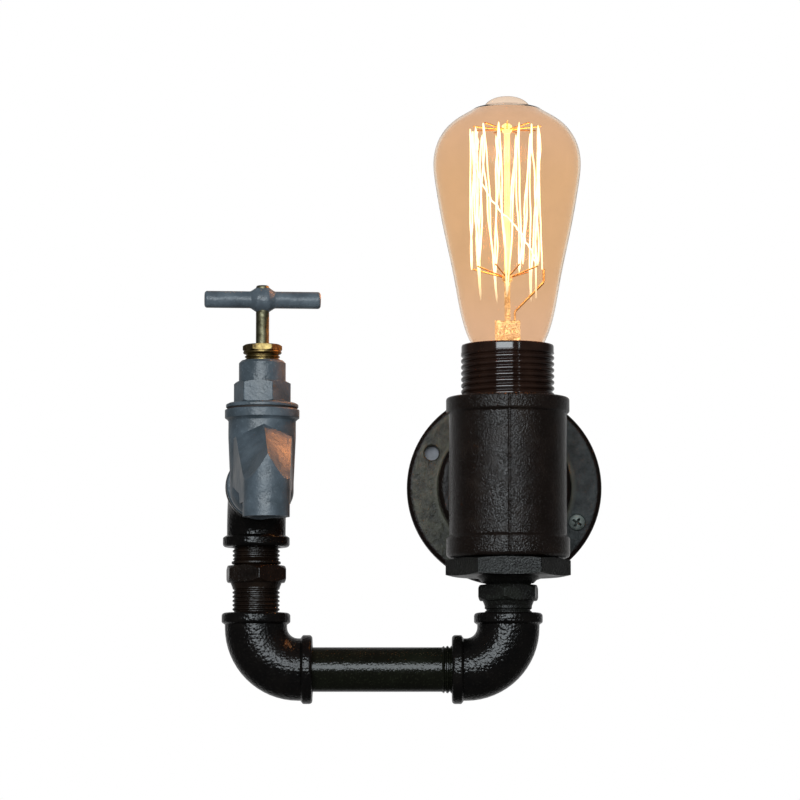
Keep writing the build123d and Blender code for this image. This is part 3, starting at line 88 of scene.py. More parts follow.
# Black enamel: a warm near-black, glossy, brushed over iron whose sand grains stand through it, so
# that a highlight breaks into sparks. Grain, fleck, lump, seam and their heights are in mm. A fleck
# is a rub of the brush, and the seam is the parting line of the casting
def blackEnamel(name, look):
    material, tree, shader, place = newMaterial(name)
    shader.inputs["IOR"].default_value = look["ior"]
    grains = addNode(tree, "ShaderNodeTexVoronoi", {"Vector": place, "Scale": 1 / (look["grain"] * mm)})
    fleckScale, lumpScale = 1 / (look["fleck"] * mm), 1 / (look["lump"] * mm)
    dust = addNode(tree, "ShaderNodeTexNoise", {"Vector": place, "Scale": fleckScale, "Detail": 1.5})
    lumps = addNode(tree, "ShaderNodeTexNoise", {"Vector": place, "Scale": lumpScale, "Detail": 3.0})
    stops = [(0.32, look["deep"]), (0.55, look["base"]), (0.75, look["thin"])]
    tint = addNode(tree, "ShaderNodeValToRGB", {"Fac": lumps.outputs["Fac"]}, stops=stops)
    rubbed = addNode(tree, "ShaderNodeMapRange", {
        "Value": dust.outputs["Fac"], "From Min": 0.58, "From Max": 0.7, "To Max": look["rub"]
    })
    skin = addNode(tree, "ShaderNodeMix", {
        0: rubbed.outputs["Result"], 6: tint.outputs["Color"], 7: colour(look["rubbed"])
    }, data_type="RGBA")
    tree.links.new(skin.outputs[2], shader.inputs["Base Color"])
    gloss = addNode(tree, "ShaderNodeMapRange", {
        "Value": lumps.outputs["Fac"],
        "From Min": 0.3,
        "From Max": 0.75,
        "To Min": look["gloss"] * 0.8,
        "To Max": look["gloss"] * 1.3,
    })
    tree.links.new(gloss.outputs["Result"], shader.inputs["Roughness"])
    flow = addNode(tree, "ShaderNodeBump", {
        "Height": lumps.outputs["Fac"], "Distance": look["lumpHeight"] * mm
    })
    sand = addNode(tree, "ShaderNodeBump", {
        "Height": grains.outputs["Distance"],
        "Distance": look["grainHeight"] * mm,
        "Normal": flow.outputs["Normal"],
    }, invert=True)
    fleck = addNode(tree, "ShaderNodeBump", {
        "Height": dust.outputs["Fac"], "Distance": look["grainHeight"] * mm, "Normal": sand.outputs["Normal"]
    })
    across = addNode(tree, "ShaderNodeSeparateXYZ", {"Vector": place}).outputs["X"]
    wander = addNode(tree, "ShaderNodeMath", {
        0: dust.outputs["Fac"], 1: look["seamWander"] * mm, 2: across
    }, operation="MULTIPLY_ADD")
    offSeam = addNode(tree, "ShaderNodeMath", {
        0: wander.outputs["Value"], 1: look["seamWander"] / 2 * mm
    }, operation="SUBTRACT")
    offSeam = addNode(tree, "ShaderNodeMath", {0: offSeam.outputs["Value"]}, operation="ABSOLUTE")
    ridge = addNode(tree, "ShaderNodeMapRange", {
        "Value": offSeam.outputs["Value"], "From Max": look["seamHalf"] * mm
    }, interpolation_type="SMOOTHSTEP")
    seam = addNode(tree, "ShaderNodeBump", {
        "Height": ridge.outputs["Result"], "Distance": look["seam"] * mm, "Normal": fleck.outputs["Normal"]
    })
    tree.links.new(seam.outputs["Normal"], shader.inputs["Normal"])
    return material


# The coat on the castings: thick enough to shine, thin enough for the sand to show
castLook = {
    "deep": "17110e",
    "base": "1d1613",
    "thin": "251d18",
    "rubbed": "33302b",
    "rub": 0.3,
    "grain": 0.8,
    "fleck": 0.55,
    "grainHeight": 0.2,
    "lump": 9.0,
    "lumpHeight": 0.05,
    "gloss": 0.19,
    "seam": 0.0,
    "seamHalf": 0.9,
    "seamWander": 0.9,
    "ior": 1.36,
}

# The tee shows its parting line, and the short nipple behind it takes the same coat
teeLook = dict(castLook, seam=0.3)
finish(blackEnamel("blackEnamelOnCastIron", teeLook), "tee", "wall_nipple")

# The bush and the right nipple were painted thinner: greyer, with the sand showing
nippleLook = dict(
    castLook,
    deep="121110",
    base="171614",
    thin="20211c",
    rubbed="3c403b",
    rub=0.6,
    gloss=0.33,
    grainHeight=0.16,
    ior=1.31,
)
finish(blackEnamel("thinEnamelOnCastIron", nippleLook), "reducing_bush", "right_hex_nipple")

# The elbows got a thick, runny coat: orange peel a few millimetres wide that glints like wet tar
elbowLook = dict(
    castLook,
    deep="0b0a0a",
    base="100e0d",
    thin="151210",
    rub=0.15,
    grain=1.3,
    fleck=1.0,
    grainHeight=0.14,
    lump=8.0,
    lumpHeight=0.12,
    gloss=0.16,
)
finish(blackEnamel("thickBlackEnamel", elbowLook), "left_elbow", "right_elbow", "tap_elbow")

# The left nipple's coat is browner, duller and flatter
leftLook = dict(
    elbowLook, deep="120c09", base="1c130e", thin="251a12", fleck=0.8, grain=1.2, grainHeight=0.08, gloss=0.26
)
finish(blackEnamel("brownBlackEnamel", leftLook), "left_hex_nipple")

# Drawn steel tube: the same paint, smoother, with a green cast
pipeLook = dict(
    castLook,
    deep="0f0f0a",
    base="13140d",
    thin="191b12",
    rubbed="2a2c20",
    rub=0.5,
    grain=1.0,
    fleck=0.9,
    grainHeight=0.065,
    lump=14.0,
    lumpHeight=0.06,
    gloss=0.17,
)
finish(blackEnamel("blackEnamelOnDrawnTube", pipeLook), "cross_pipe")
print("black enamels done")

# Flange: its flat face was wiped before the paint dried, so a grey-green primer shows between a dark rim and
# the dark boss.
# The primer is painted lighter and warmer to the left and darker and cooler to the right, which is painted
# side light, and a pale line round the boss is a painted highlight on its rounded edge
flangeLook = {
    "enamel": "17100d",
    "primerWithSideLight": ("403e33", "353830", "2b3031"),
    # pale: the colour of the painted highlight round the boss's edge
    "pale": "5f5e52",
    "boss": 30.2 * mm,
    "rim": 41.6 * mm,
    "face": -6.0 * mm,
    "half": 43 * mm,
    "ragged": 1.4 * mm,
    "cloud": 5 * mm,
    "cloudHeight": 0.5 * mm,
    "grain": 0.8 * mm,
    "grainHeight": 0.22 * mm,
    "gloss": (0.26, 0.34),
    "ior": 1.28,
}
material, tree, shader, place = newMaterial("wipedEnamelOnCastIron")
shader.inputs["IOR"].default_value = flangeLook["ior"]
axes = addNode(tree, "ShaderNodeSeparateXYZ", {"Vector": place})
flat = addNode(tree, "ShaderNodeCombineXYZ", {"X": axes.outputs["X"], "Z": axes.outputs["Z"]})
radius = addNode(tree, "ShaderNodeVectorMath", {
    0: flat.outputs["Vector"]
}, operation="LENGTH").outputs["Value"]
cloud = addNode(tree, "ShaderNodeTexNoise", {
    "Vector": place, "Scale": 1 / flangeLook["cloud"], "Detail": 5.0, "Roughness": 0.65
})
fine = addNode(tree, "ShaderNodeTexNoise", {"Vector": place, "Scale": 1 / flangeLook["grain"], "Detail": 2.0})
ragged = addNode(tree, "ShaderNodeMath", {
    0: cloud.outputs["Fac"], 1: flangeLook["ragged"], 2: radius
}, operation="MULTIPLY_ADD")
past = addNode(tree, "ShaderNodeMapRange", {
    "Value": ragged.outputs["Value"],
    "From Min": flangeLook["boss"],
    "From Max": flangeLook["boss"] + 0.9 * mm,
})
short = addNode(tree, "ShaderNodeMapRange", {
    "Value": ragged.outputs["Value"],
    "From Min": flangeLook["rim"],
    "From Max": flangeLook["rim"] + 1.1 * mm,
    "To Min": 1.0,
    "To Max": 0.0,
})
onFace = addNode(tree, "ShaderNodeMapRange", {
    "Value": axes.outputs["Y"],
    "From Min": flangeLook["face"] + 0.1 * mm,
    "From Max": flangeLook["face"] + 1.1 * mm,
    "To Min": 1.0,
    "To Max": 0.0,
})
ring = addNode(tree, "ShaderNodeMath", {
    0: past.outputs["Result"], 1: short.outputs["Result"]
}, operation="MULTIPLY")
wiped = addNode(tree, "ShaderNodeMath", {
    0: ring.outputs["Value"], 1: onFace.outputs["Result"]
}, operation="MULTIPLY")
# Painted side light: the primer runs from lighter and warmer on the left to darker and cooler on the right
paintedSideLight = addNode(tree, "ShaderNodeMapRange", {
    "Value": axes.outputs["X"], "From Min": -flangeLook["half"], "From Max": flangeLook["half"]
})
litWarm, middle, shadedCool = flangeLook["primerWithSideLight"]
primerWithSideLight = addNode(tree, "ShaderNodeValToRGB", {
    "Fac": paintedSideLight.outputs["Result"]
}, stops=[(0.1, litWarm), (0.4, middle), (0.9, shadedCool)])
shade = addNode(tree, "ShaderNodeMapRange", {
    "Value": cloud.outputs["Fac"], "From Min": 0.35, "From Max": 0.68, "To Min": 0.35, "To Max": 1.6
})
mottled = addNode(tree, "ShaderNodeVectorMath", {
    0: primerWithSideLight.outputs["Color"], "Scale": shade.outputs["Result"]
}, operation="SCALE")
# Painted highlight: a pale line just outside the boss, where its rounded edge would catch the light
paintedBossHighlight = addNode(tree, "ShaderNodeMapRange", {
    "Value": radius,
    "From Min": flangeLook["boss"] + 0.2 * mm,
    "From Max": flangeLook["boss"] + 2.4 * mm,
    "To Min": 0.75,
    "To Max": 0.0,
})
pale = addNode(tree, "ShaderNodeMix", {
    0: paintedBossHighlight.outputs["Result"], 6: mottled.outputs["Vector"], 7: colour(flangeLook["pale"])
}, data_type="RGBA")
skin = addNode(tree, "ShaderNodeMix", {
    0: wiped.outputs["Value"], 6: colour(flangeLook["enamel"]), 7: pale.outputs[2]
}, data_type="RGBA")
tree.links.new(skin.outputs[2], shader.inputs["Base Color"])
glossy, dull = flangeLook["gloss"]
gloss = addNode(tree, "ShaderNodeMapRange", {
    "Value": wiped.outputs["Value"], "To Min": glossy, "To Max": dull
})
tree.links.new(gloss.outputs["Result"], shader.inputs["Roughness"])
flow = addNode(tree, "ShaderNodeBump", {
    "Height": cloud.outputs["Fac"], "Distance": flangeLook["cloudHeight"]
})
sand = addNode(tree, "ShaderNodeBump", {
    "Height": fine.outputs["Fac"], "Distance": flangeLook["grainHeight"], "Normal": flow.outputs["Normal"]
})
tree.links.new(sand.outputs["Normal"], shader.inputs["Normal"])
finish(material, "wall_flange")
print("flange done")


# Tap enamel: grey-blue hammer paint over cast brass, satin, with a fine tooth and paler rubs. Cloud,
# tooth and the heights are in mm
def tapEnamel(name, look):
    material, tree, shader, place = newMaterial(name)
    cloudScale, toothScale = 1 / (look["cloud"] * mm), 1 / (look["tooth"] * mm)
    cloud = addNode(tree, "ShaderNodeTexNoise", {"Vector": place, "Scale": cloudScale, "Detail": 4.0})
    tooth = addNode(tree, "ShaderNodeTexNoise", {"Vector": place, "Scale": toothScale, "Detail": 2.0})
    stops = [(0.34, look["dark"]), (0.52, look["base"]), (0.7, look["light"])]
    tint = addNode(tree, "ShaderNodeValToRGB", {"Fac": cloud.outputs["Fac"]}, stops=stops)
    rubs = addNode(tree, "ShaderNodeMapRange", {
        "Value": tooth.outputs["Fac"], "From Min": 0.6, "From Max": 0.74, "To Max": look["rub"]
    })
    skin = addNode(tree, "ShaderNodeMix", {
        0: rubs.outputs["Result"], 6: tint.outputs["Color"], 7: colour(look["rubbed"])
    }, data_type="RGBA")
    tree.links.new(skin.outputs[2], shader.inputs["Base Color"])
    glossy, dull = look["gloss"]
    gloss = addNode(tree, "ShaderNodeMapRange", {
        "Value": cloud.outputs["Fac"], "From Min": 0.3, "From Max": 0.7, "To Min": glossy, "To Max": dull
    })
    tree.links.new(gloss.outputs["Result"], shader.inputs["Roughness"])
    flow = addNode(tree, "ShaderNodeBump", {"Height": cloud.outputs["Fac"], "Distance": look["dents"] * mm})
    grit = addNode(tree, "ShaderNodeBump", {
        "Height": tooth.outputs["Fac"],
        "Distance": look["toothHeight"] * mm,
        "Normal": flow.outputs["Normal"],
    })
    tree.links.new(grit.outputs["Normal"], shader.inputs["Normal"])
    return material


tapLook = {
    "dark": "434c52",
    "base": "505a62",
    "light": "5d6870",
    "rubbed": "76828a",
    "rub": 0.4,
    "cloud": 9.0,
    "dents": 0.9,
    "tooth": 0.9,
    "toothHeight": 0.11,
    "gloss": (0.3, 0.46),
}
finish(tapEnamel("greyBlueTapEnamel", tapLook), "tap_body", "bonnet")

# The handle's coat is a little paler and coarser
barLook = dict(tapLook, dark="495158", base="58626a", light="667179", tooth=1.1)
finish(tapEnamel("greyBlueHandleEnamel", barLook), "tap_handle", "handle_pin")


# Brass: warm metal, turned or rolled, browned in random patches. Stains, marks and their height
# are in mm, and the tool's marks repeat at 2 pi times mark, coarse enough to show
def brass(name, look):
    material, tree, shader, place = newMaterial(name)
    stain = addNode(tree, "ShaderNodeTexNoise", {
        "Vector": place, "Scale": 1 / (look["stains"] * mm), "Detail": 4.0, "Roughness": 0.6
    })
    stops = [(0.3, look["stain"]), (0.5, look["base"]), (0.75, look["bright"])]
    tint = addNode(tree, "ShaderNodeValToRGB", {"Fac": stain.outputs["Fac"]}, stops=stops)
    tree.links.new(tint.outputs["Color"], shader.inputs["Base Color"])
    shader.inputs["Metallic"].default_value = 1.0
    gloss = addNode(tree, "ShaderNodeMapRange", {
        "Value": stain.outputs["Fac"],
        "From Min": 0.3,
        "From Max": 0.7,
        "To Min": look["rough"] * 1.5,
        "To Max": look["rough"],
    })
    tree.links.new(gloss.outputs["Result"], shader.inputs["Roughness"])
    marks = addNode(tree, "ShaderNodeTexWave", {
        "Vector": place, "Scale": 1 / (look["mark"] * 20 * mm), "Distortion": 1.5
    }, bands_direction="Z")
    turned = addNode(tree, "ShaderNodeBump", {
        "Height": marks.outputs["Fac"], "Strength": 0.5, "Distance": look["markHeight"] * mm
    })
    tree.links.new(turned.outputs["Normal"], shader.inputs["Normal"])
    return material


# The gland nut is browned in random patches
agedLook = {
    "stain": "43321d",
    "base": "786540",
    "bright": "a08b58",
    "rough": 0.36,
    "stains": 2.5,
    "mark": 0.35,
    "markHeight": 0.02,
}
finish(brass("agedTurnedBrass", agedLook), "gland_nut")

# The spindle has gone grey and dull with handling
spindleLook = dict(agedLook, stain="453f30", base="757058", bright="969178", rough=0.42, mark=0.5)
finish(brass("dulledTurnedBrass", spindleLook), "spindle")

# Turned brass kept inside, yellow and clean
cleanLook = dict(agedLook, stain="8a6a35", base="b8944f", bright="d0b06c", rough=0.24, mark=0.3)
cleanTurned = brass("cleanTurnedBrass", cleanLook)
finish(cleanTurned, "jumper_valve", "jumper_nut", "block_clamps", "live_terminal", "neutral_terminal")

# Rolled sheet, the brightest and smoothest
rolledLook = dict(agedLook, stain="9a7638", base="c9a75e", bright="dcbf7c", rough=0.2, mark=0.8)
rolled = brass("rolledBrassSheet", rolledLook)
finish(rolled, "bulb_cap", "screw_shell", "centre_contact", "contact_rivet", "shell_rivet", "earth_tag")


# Bright steel and solder: a grey metal, clouded and finely pitted. Cloud and pits are in mm
def steel(name, look):
    material, tree, shader, place = newMaterial(name)
    cloud = addNode(tree, "ShaderNodeTexNoise", {
        "Vector": place, "Scale": 1 / (look["cloud"] * mm), "Detail": 4.0
    })
    stops = [(0.3, look["dull"]), (0.7, look["base"])]
    tint = addNode(tree, "ShaderNodeValToRGB", {"Fac": cloud.outputs["Fac"]}, stops=stops)
    tree.links.new(tint.outputs["Color"], shader.inputs["Base Color"])
    shader.inputs["Metallic"].default_value = 1.0
    least, most = look["rough"] * 0.6, look["rough"] * 1.4
    gloss = addNode(tree, "ShaderNodeMapRange", {
        "Value": cloud.outputs["Fac"], "To Min": least, "To Max": most
    })
    tree.links.new(gloss.outputs["Result"], shader.inputs["Roughness"])
    pits = addNode(tree, "ShaderNodeTexNoise", {
        "Vector": place, "Scale": 1 / (look["pits"] * mm), "Detail": 2.0
    })
    rough = addNode(tree, "ShaderNodeBump", {
        "Height": pits.outputs["Fac"], "Strength": 0.6, "Distance": look["pitDepth"] * mm
    })
    tree.links.new(rough.outputs["Normal"], shader.inputs["Normal"])
    return material


# Plated screws, a cool grey
zincLook = {"dull": "84868a", "base": "b4b6ba", "rough": 0.32, "cloud": 1.8, "pits": 0.3, "pitDepth": 0.02}
finish(steel("zincPlatedSteel", zincLook), "terminal_screws", "block_screws", "block_fixing", "earth_screw")

# A blob of solder, brighter and softer
solderLook = dict(zincLook, dull="8d8f90", base="c2c4c6", rough=0.28)
finish(steel("tinnedSolder", solderLook), "bulb_contact")

# The lamp's wires, browned by its heat
wireLook = dict(zincLook, dull="b08a58", base="dcb680", rough=0.4)
finish(steel("heatBrownedWire", wireLook), "filament_supports", "bulb_leads")


# Moulded and drawn stuffs that aren't metal: a faintly mottled tint, with grain and height in mm
def moulded(name, look):
    material, tree, shader, place = newMaterial(name)
    cloud = addNode(tree, "ShaderNodeTexNoise", {
        "Vector": place, "Scale": 1 / (look["grain"] * mm), "Detail": 3.0
    })
    stops = [(0.3, look["dark"]), (0.7, look["light"])]
    tint = addNode(tree, "ShaderNodeValToRGB", {"Fac": cloud.outputs["Fac"]}, stops=stops)
    tree.links.new(tint.outputs["Color"], shader.inputs["Base Color"])
    least, most = look["rough"] * 0.8, look["rough"] * 1.2
    gloss = addNode(tree, "ShaderNodeMapRange", {
        "Value": cloud.outputs["Fac"], "To Min": least, "To Max": most
    })
    tree.links.new(gloss.outputs["Result"], shader.inputs["Roughness"])
    grain = addNode(tree, "ShaderNodeBump", {
        "Height": cloud.outputs["Fac"], "Strength": 0.7, "Distance": look["height"] * mm
    })
    tree.links.new(grain.outputs["Normal"], shader.inputs["Normal"])
    return material


# Pressed phenolic: brown-black, with a hard glassy shine from the polished mould
skirtLook = {"dark": "20130e", "light": "2d1d16", "rough": 0.1, "grain": 6.0, "height": 0.02, "ior": 1.6}
phenolic = moulded("mouldedPhenolic", skirtLook)
phenolic.node_tree.nodes["Principled BSDF"].inputs["IOR"].default_value = skirtLook["ior"]
finish(phenolic, "holder_skirt", "holder_cup")

# The rest, each with what it gives the eye and the nodes that wear it
mouldedStuffs = {
    "glazedPorcelain": {  # a cream body under a smooth glaze
        "look": {"dark": "e4ddcc", "light": "f1ece0", "rough": 0.15, "grain": 8.0, "height": 0.03},
        "worn": ["porcelain_core"],
    },
    "nylonBlock": {  # milky and half matt
        "look": {"dark": "d8d4c6", "light": "e8e5da", "rough": 0.45, "grain": 1.2, "height": 0.03},
        "worn": ["terminal_block", "cable_bush"],
    },
    "blackGlassInsulator": {  # blue-black and shiny
        "look": {"dark": "0a0a10", "light": "14141c", "rough": 0.08, "grain": 4.0, "height": 0.02},
        "worn": ["bulb_insulator"],
    },
    "vulcanisedFibre": {  # dark brown, matt and fibrous
        "look": {"dark": "241d1b", "light": "352b27", "rough": 0.7, "grain": 0.7, "height": 0.06},
        "worn": ["bonnet_washer"],
    },
    "nitrileRubber": {  # soft black, matt
        "look": {"dark": "121212", "light": "1d1d1e", "rough": 0.6, "grain": 0.8, "height": 0.03},
        "worn": ["jumper_washer"],
    },
    "brownPvc": {  # drawn over the wire, faintly waxy
        "look": {"dark": "4b2814", "light": "5f351c", "rough": 0.4, "grain": 2.0, "height": 0.02},
        "worn": ["live_lead"],
    },
    "bluePvc": {  # the same
        "look": {"dark": "17479a", "light": "2159b4", "rough": 0.4, "grain": 2.0, "height": 0.02},
        "worn": ["neutral_lead"],
    },
}
for name, stuff in mouldedStuffs.items():
    finish(moulded(name, stuff["look"]), *stuff["worn"])

# Greased plaited packing: matt, in pale and dark slanting strands, drawn about 3.6 mm wide
packingLook = {"dark": "6b6251", "pale": "a89d84", "wave": 20 * mm, "height": 0.2 * mm, "rough": 0.75}
material, tree, shader, place = newMaterial("plaitedPacking")
plait = addNode(tree, "ShaderNodeTexWave", {
    "Vector": place, "Scale": 1 / packingLook["wave"], "Distortion": 3.0
}, bands_direction="DIAGONAL")
stops = [(0.0, packingLook["dark"]), (1.0, packingLook["pale"])]
tint = addNode(tree, "ShaderNodeValToRGB", {"Fac": plait.outputs["Fac"]}, stops=stops)
tree.links.new(tint.outputs["Color"], shader.inputs["Base Color"])
shader.inputs["Roughness"].default_value = packingLook["rough"]
strands = addNode(tree, "ShaderNodeBump", {"Height": plait.outputs["Fac"], "Distance": packingLook["height"]})
tree.links.new(strands.outputs["Normal"], shader.inputs["Normal"])
finish(material, "gland_packing")

# Earth insulation: faintly waxy, green and yellow by turns, each about 15 mm wide across the slant
earthLook = {"green": "3c8f35", "yellow": "d9c022", "wave": 80 * mm, "waxy": 2 * mm, "gloss": (0.33, 0.5)}
material, tree, shader, place = newMaterial("greenYellowPvc")
stripe = addNode(tree, "ShaderNodeTexWave", {
    "Vector": place, "Scale": 1 / earthLook["wave"]
}, bands_direction="DIAGONAL")
stops = [(0.48, earthLook["green"]), (0.52, earthLook["yellow"])]
tint = addNode(tree, "ShaderNodeValToRGB", {"Fac": stripe.outputs["Fac"]}, stops=stops)
tree.links.new(tint.outputs["Color"], shader.inputs["Base Color"])
waxy = addNode(tree, "ShaderNodeTexNoise", {"Vector": place, "Scale": 1 / earthLook["waxy"]})
glossy, dull = earthLook["gloss"]
gloss = addNode(tree, "ShaderNodeMapRange", {"Value": waxy.outputs["Fac"], "To Min": glossy, "To Max": dull})
tree.links.new(gloss.outputs["Result"], shader.inputs["Roughness"])
finish(material, "earth_lead")
print("tap, brass, steel and moulded finishes done")

# Amber glass: soda glass stained inside, even, pinker toward the neck and the crown, with a painted glow that
# turns it more golden round the filament where its light falls. Each wall tints what is behind it once, so the
# tone is half of what shows. Its
# IOR is below real glass, so that the rim doesn't turn dark
glassLook = {
    "edge": "eed5be",
    "filamentGlowTint": "edd3b6",
    "low": 66 * mm,
    "high": 160 * mm,
    "swirl": 14 * mm,
    "ior": 1.14,
}
material, tree, shader, place = newMaterial("amberStainedGlass")
axes = addNode(tree, "ShaderNodeSeparateXYZ", {"Vector": place})
# Painted glow: the tint turns more golden at the filament's height
rise = addNode(tree, "ShaderNodeMapRange", {
    "Value": axes.outputs["Z"], "From Min": glassLook["low"], "From Max": glassLook["high"]
})
edge, filamentGlowTint = glassLook["edge"], glassLook["filamentGlowTint"]
stops = [(0.0, edge), (0.3, filamentGlowTint), (0.7, filamentGlowTint), (1.0, edge)]
tint = addNode(tree, "ShaderNodeValToRGB", {"Fac": rise.outputs["Result"]}, stops=stops)
swirl = addNode(tree, "ShaderNodeTexNoise", {"Vector": place, "Scale": 1 / glassLook["swirl"], "Detail": 2.0})
streak = addNode(tree, "ShaderNodeMapRange", {
    "Value": swirl.outputs["Fac"], "From Min": 0.3, "From Max": 0.7, "To Min": 0.97, "To Max": 1.02
})
stained = addNode(tree, "ShaderNodeVectorMath", {
    0: tint.outputs["Color"], "Scale": streak.outputs["Result"]
}, operation="SCALE")
tree.links.new(stained.outputs["Vector"], shader.inputs["Base Color"])
shader.inputs["Roughness"].default_value = 0.0
shader.inputs["Transmission Weight"].default_value = 1.0
shader.inputs["IOR"].default_value = glassLook["ior"]
finish(material, "bulb_glass")

# Clear stem glass: drawn and wavy. Its thin glints low down are painted highlights, and above them its rod has
# a painted glow that stands for the filament's light carried up it
stemLook = {
    "tints": ("f0cf9a", "fdeccb"),
    "light": "ffe6a6",
    "litFrom": 88 * mm,
    "litFull": 94 * mm,
    "lit": 0.85,
    "glint": 0.75,
    "between": 0.04,
    "ripple": 4 * mm,
    "waves": 0.8 * mm,
    "rough": 0.03,
    "ior": 1.45,
}
material, tree, shader, place = newMaterial("clearStemGlass")
axes = addNode(tree, "ShaderNodeSeparateXYZ", {"Vector": place})
lit = addNode(tree, "ShaderNodeMapRange", {
    "Value": axes.outputs["Z"], "From Min": stemLook["litFrom"], "From Max": stemLook["litFull"]
})
ripple = addNode(tree, "ShaderNodeTexNoise", {
    "Vector": place, "Scale": 1 / stemLook["ripple"], "Detail": 2.0
})
stops = list(zip((0.35, 0.65), stemLook["tints"]))
tint = addNode(tree, "ShaderNodeValToRGB", {"Fac": ripple.outputs["Fac"]}, stops=stops)
tree.links.new(tint.outputs["Color"], shader.inputs["Base Color"])
crinkle = addNode(tree, "ShaderNodeMath", {0: ripple.outputs["Fac"], 1: 0.5}, operation="SUBTRACT")
crinkle = addNode(tree, "ShaderNodeMath", {0: crinkle.outputs["Value"]}, operation="ABSOLUTE")
# Painted glints: emission along the ripple's thin crinkles
glint = addNode(tree, "ShaderNodeMapRange", {
    "Value": crinkle.outputs["Value"],
    "From Max": 0.03,
    "To Min": stemLook["glint"],
    "To Max": stemLook["between"],
})
# Painted glow: the rod emits light above the lit height, with the painted glints below
glow = addNode(tree, "ShaderNodeMix", {
    "Factor": lit.outputs["Result"], 2: glint.outputs["Result"], 3: stemLook["lit"]
}, data_type="FLOAT")
shader.inputs["Emission Color"].default_value = colour(stemLook["light"])
tree.links.new(glow.outputs[0], shader.inputs["Emission Strength"])
shader.inputs["Roughness"].default_value = stemLook["rough"]
shader.inputs["Transmission Weight"].default_value = 1.0
shader.inputs["IOR"].default_value = stemLook["ior"]
wavy = addNode(tree, "ShaderNodeBump", {"Height": ripple.outputs["Fac"], "Distance": stemLook["waves"]})
tree.links.new(wavy.outputs["Normal"], shader.inputs["Normal"])
finish(material, "bulb_stem")

# Lit carbon filament: near white where it is hottest, creamier by turns, dimmer at its lower hooks
filamentLook = {
    "carbon": "3a2a20",
    "tones": ("ffeac2", "fff4dc"),
    "mottle": 6 * mm,
    "coolest": 78 * mm,
    "hottest": 96 * mm,
    "strength": (1.0, 3.4),
    "rough": 0.6,
}
material, tree, shader, place = newMaterial("litCarbonFilament")
axes = addNode(tree, "ShaderNodeSeparateXYZ", {"Vector": place})
weak, strong = filamentLook["strength"]
heat = addNode(tree, "ShaderNodeMapRange", {
    "Value": axes.outputs["Z"],
    "From Min": filamentLook["coolest"],
    "From Max": filamentLook["hottest"],
    "To Min": weak,
    "To Max": strong,
})
tint = addNode(tree, "ShaderNodeTexNoise", {"Vector": place, "Scale": 1 / filamentLook["mottle"]})
stops = list(zip((0.4, 0.6), filamentLook["tones"]))
tone = addNode(tree, "ShaderNodeValToRGB", {"Fac": tint.outputs["Fac"]}, stops=stops)
tree.links.new(tone.outputs["Color"], shader.inputs["Emission Color"])
tree.links.new(heat.outputs["Result"], shader.inputs["Emission Strength"])
shader.inputs["Base Color"].default_value = colour(filamentLook["carbon"])
shader.inputs["Roughness"].default_value = filamentLook["rough"]
litFilament = material
finish(litFilament, "filament")
print("bulb finishes done")


# A Geometry Nodes tree with named inputs, and the plain mesh it makes on an object
def newForm(name, sizes):
    tree = bpy.data.node_groups.new(name, "GeometryNodeTree")
    tree.interface.new_socket("Geometry", in_out="INPUT", socket_type="NodeSocketGeometry")
    for label, value in sizes.items():
        kind = "NodeSocketInt" if isinstance(value, int) else "NodeSocketFloat"
        tree.interface.new_socket(label, in_out="INPUT", socket_type=kind)
    tree.interface.new_socket("Geometry", in_out="OUTPUT", socket_type="NodeSocketGeometry")
    return tree, addNode(tree, "NodeGroupInput").outputs


def shapeWith(piece, tree, sizes, body):
    modifier = piece.modifiers.new(tree.name, "NODES")
    modifier.node_group = tree
    for socket in tree.interface.items_tree:
        if socket.in_out == "INPUT" and socket.name in sizes:
            modifier[socket.identifier] = sizes[socket.name]
    settled = piece.evaluated_get(bpy.context.evaluated_depsgraph_get())
    made = bpy.data.meshes.new_from_object(settled)
    made.name = piece.name
    piece.modifiers.clear()
    piece.data = made
    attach(piece, body)
    return piece


def newPiece(name, form=None):
    mesh = bpy.data.meshes.new(name)
    if form:
        form.to_mesh(mesh)
        form.free()
    piece = bpy.data.objects.new(name, mesh)
    bpy.context.scene.collection.objects.link(piece)
    return piece


# Ends a tree: its instances made real, in the material
def endForm(tree, geometry, material):
    real = addNode(tree, "GeometryNodeRealizeInstances", {"Geometry": geometry})
    dressed = addNode(tree, "GeometryNodeSetMaterial", {
        "Geometry": real.outputs["Geometry"], "Material": material
    })
    addNode(tree, "NodeGroupOutput", {"Geometry": dressed.outputs["Geometry"]})


# A ring of corners: corner gives one from the cosine and sine of its angle
def newRing(form, count, corner):
    angles = [2 * math.pi * step / count for step in range(count)]
    return [form.verts.new(corner(math.cos(angle), math.sin(angle))) for angle in angles]


# Skins a row of rings, and closes it into a loop or with a face at each end
def skinRings(form, rings, loop):
    for first, second in zip(rings, rings[1:] + rings[:1] if loop else rings[1:]):
        for step in range(len(first)):
            nextStep = (step + 1) % len(first)
            form.faces.new((first[step], first[nextStep], second[nextStep], second[step]))
    if not loop:
        form.faces.new(rings[0])
        form.faces.new(rings[-1])
    bmesh.ops.recalc_face_normals(form, faces=form.faces)


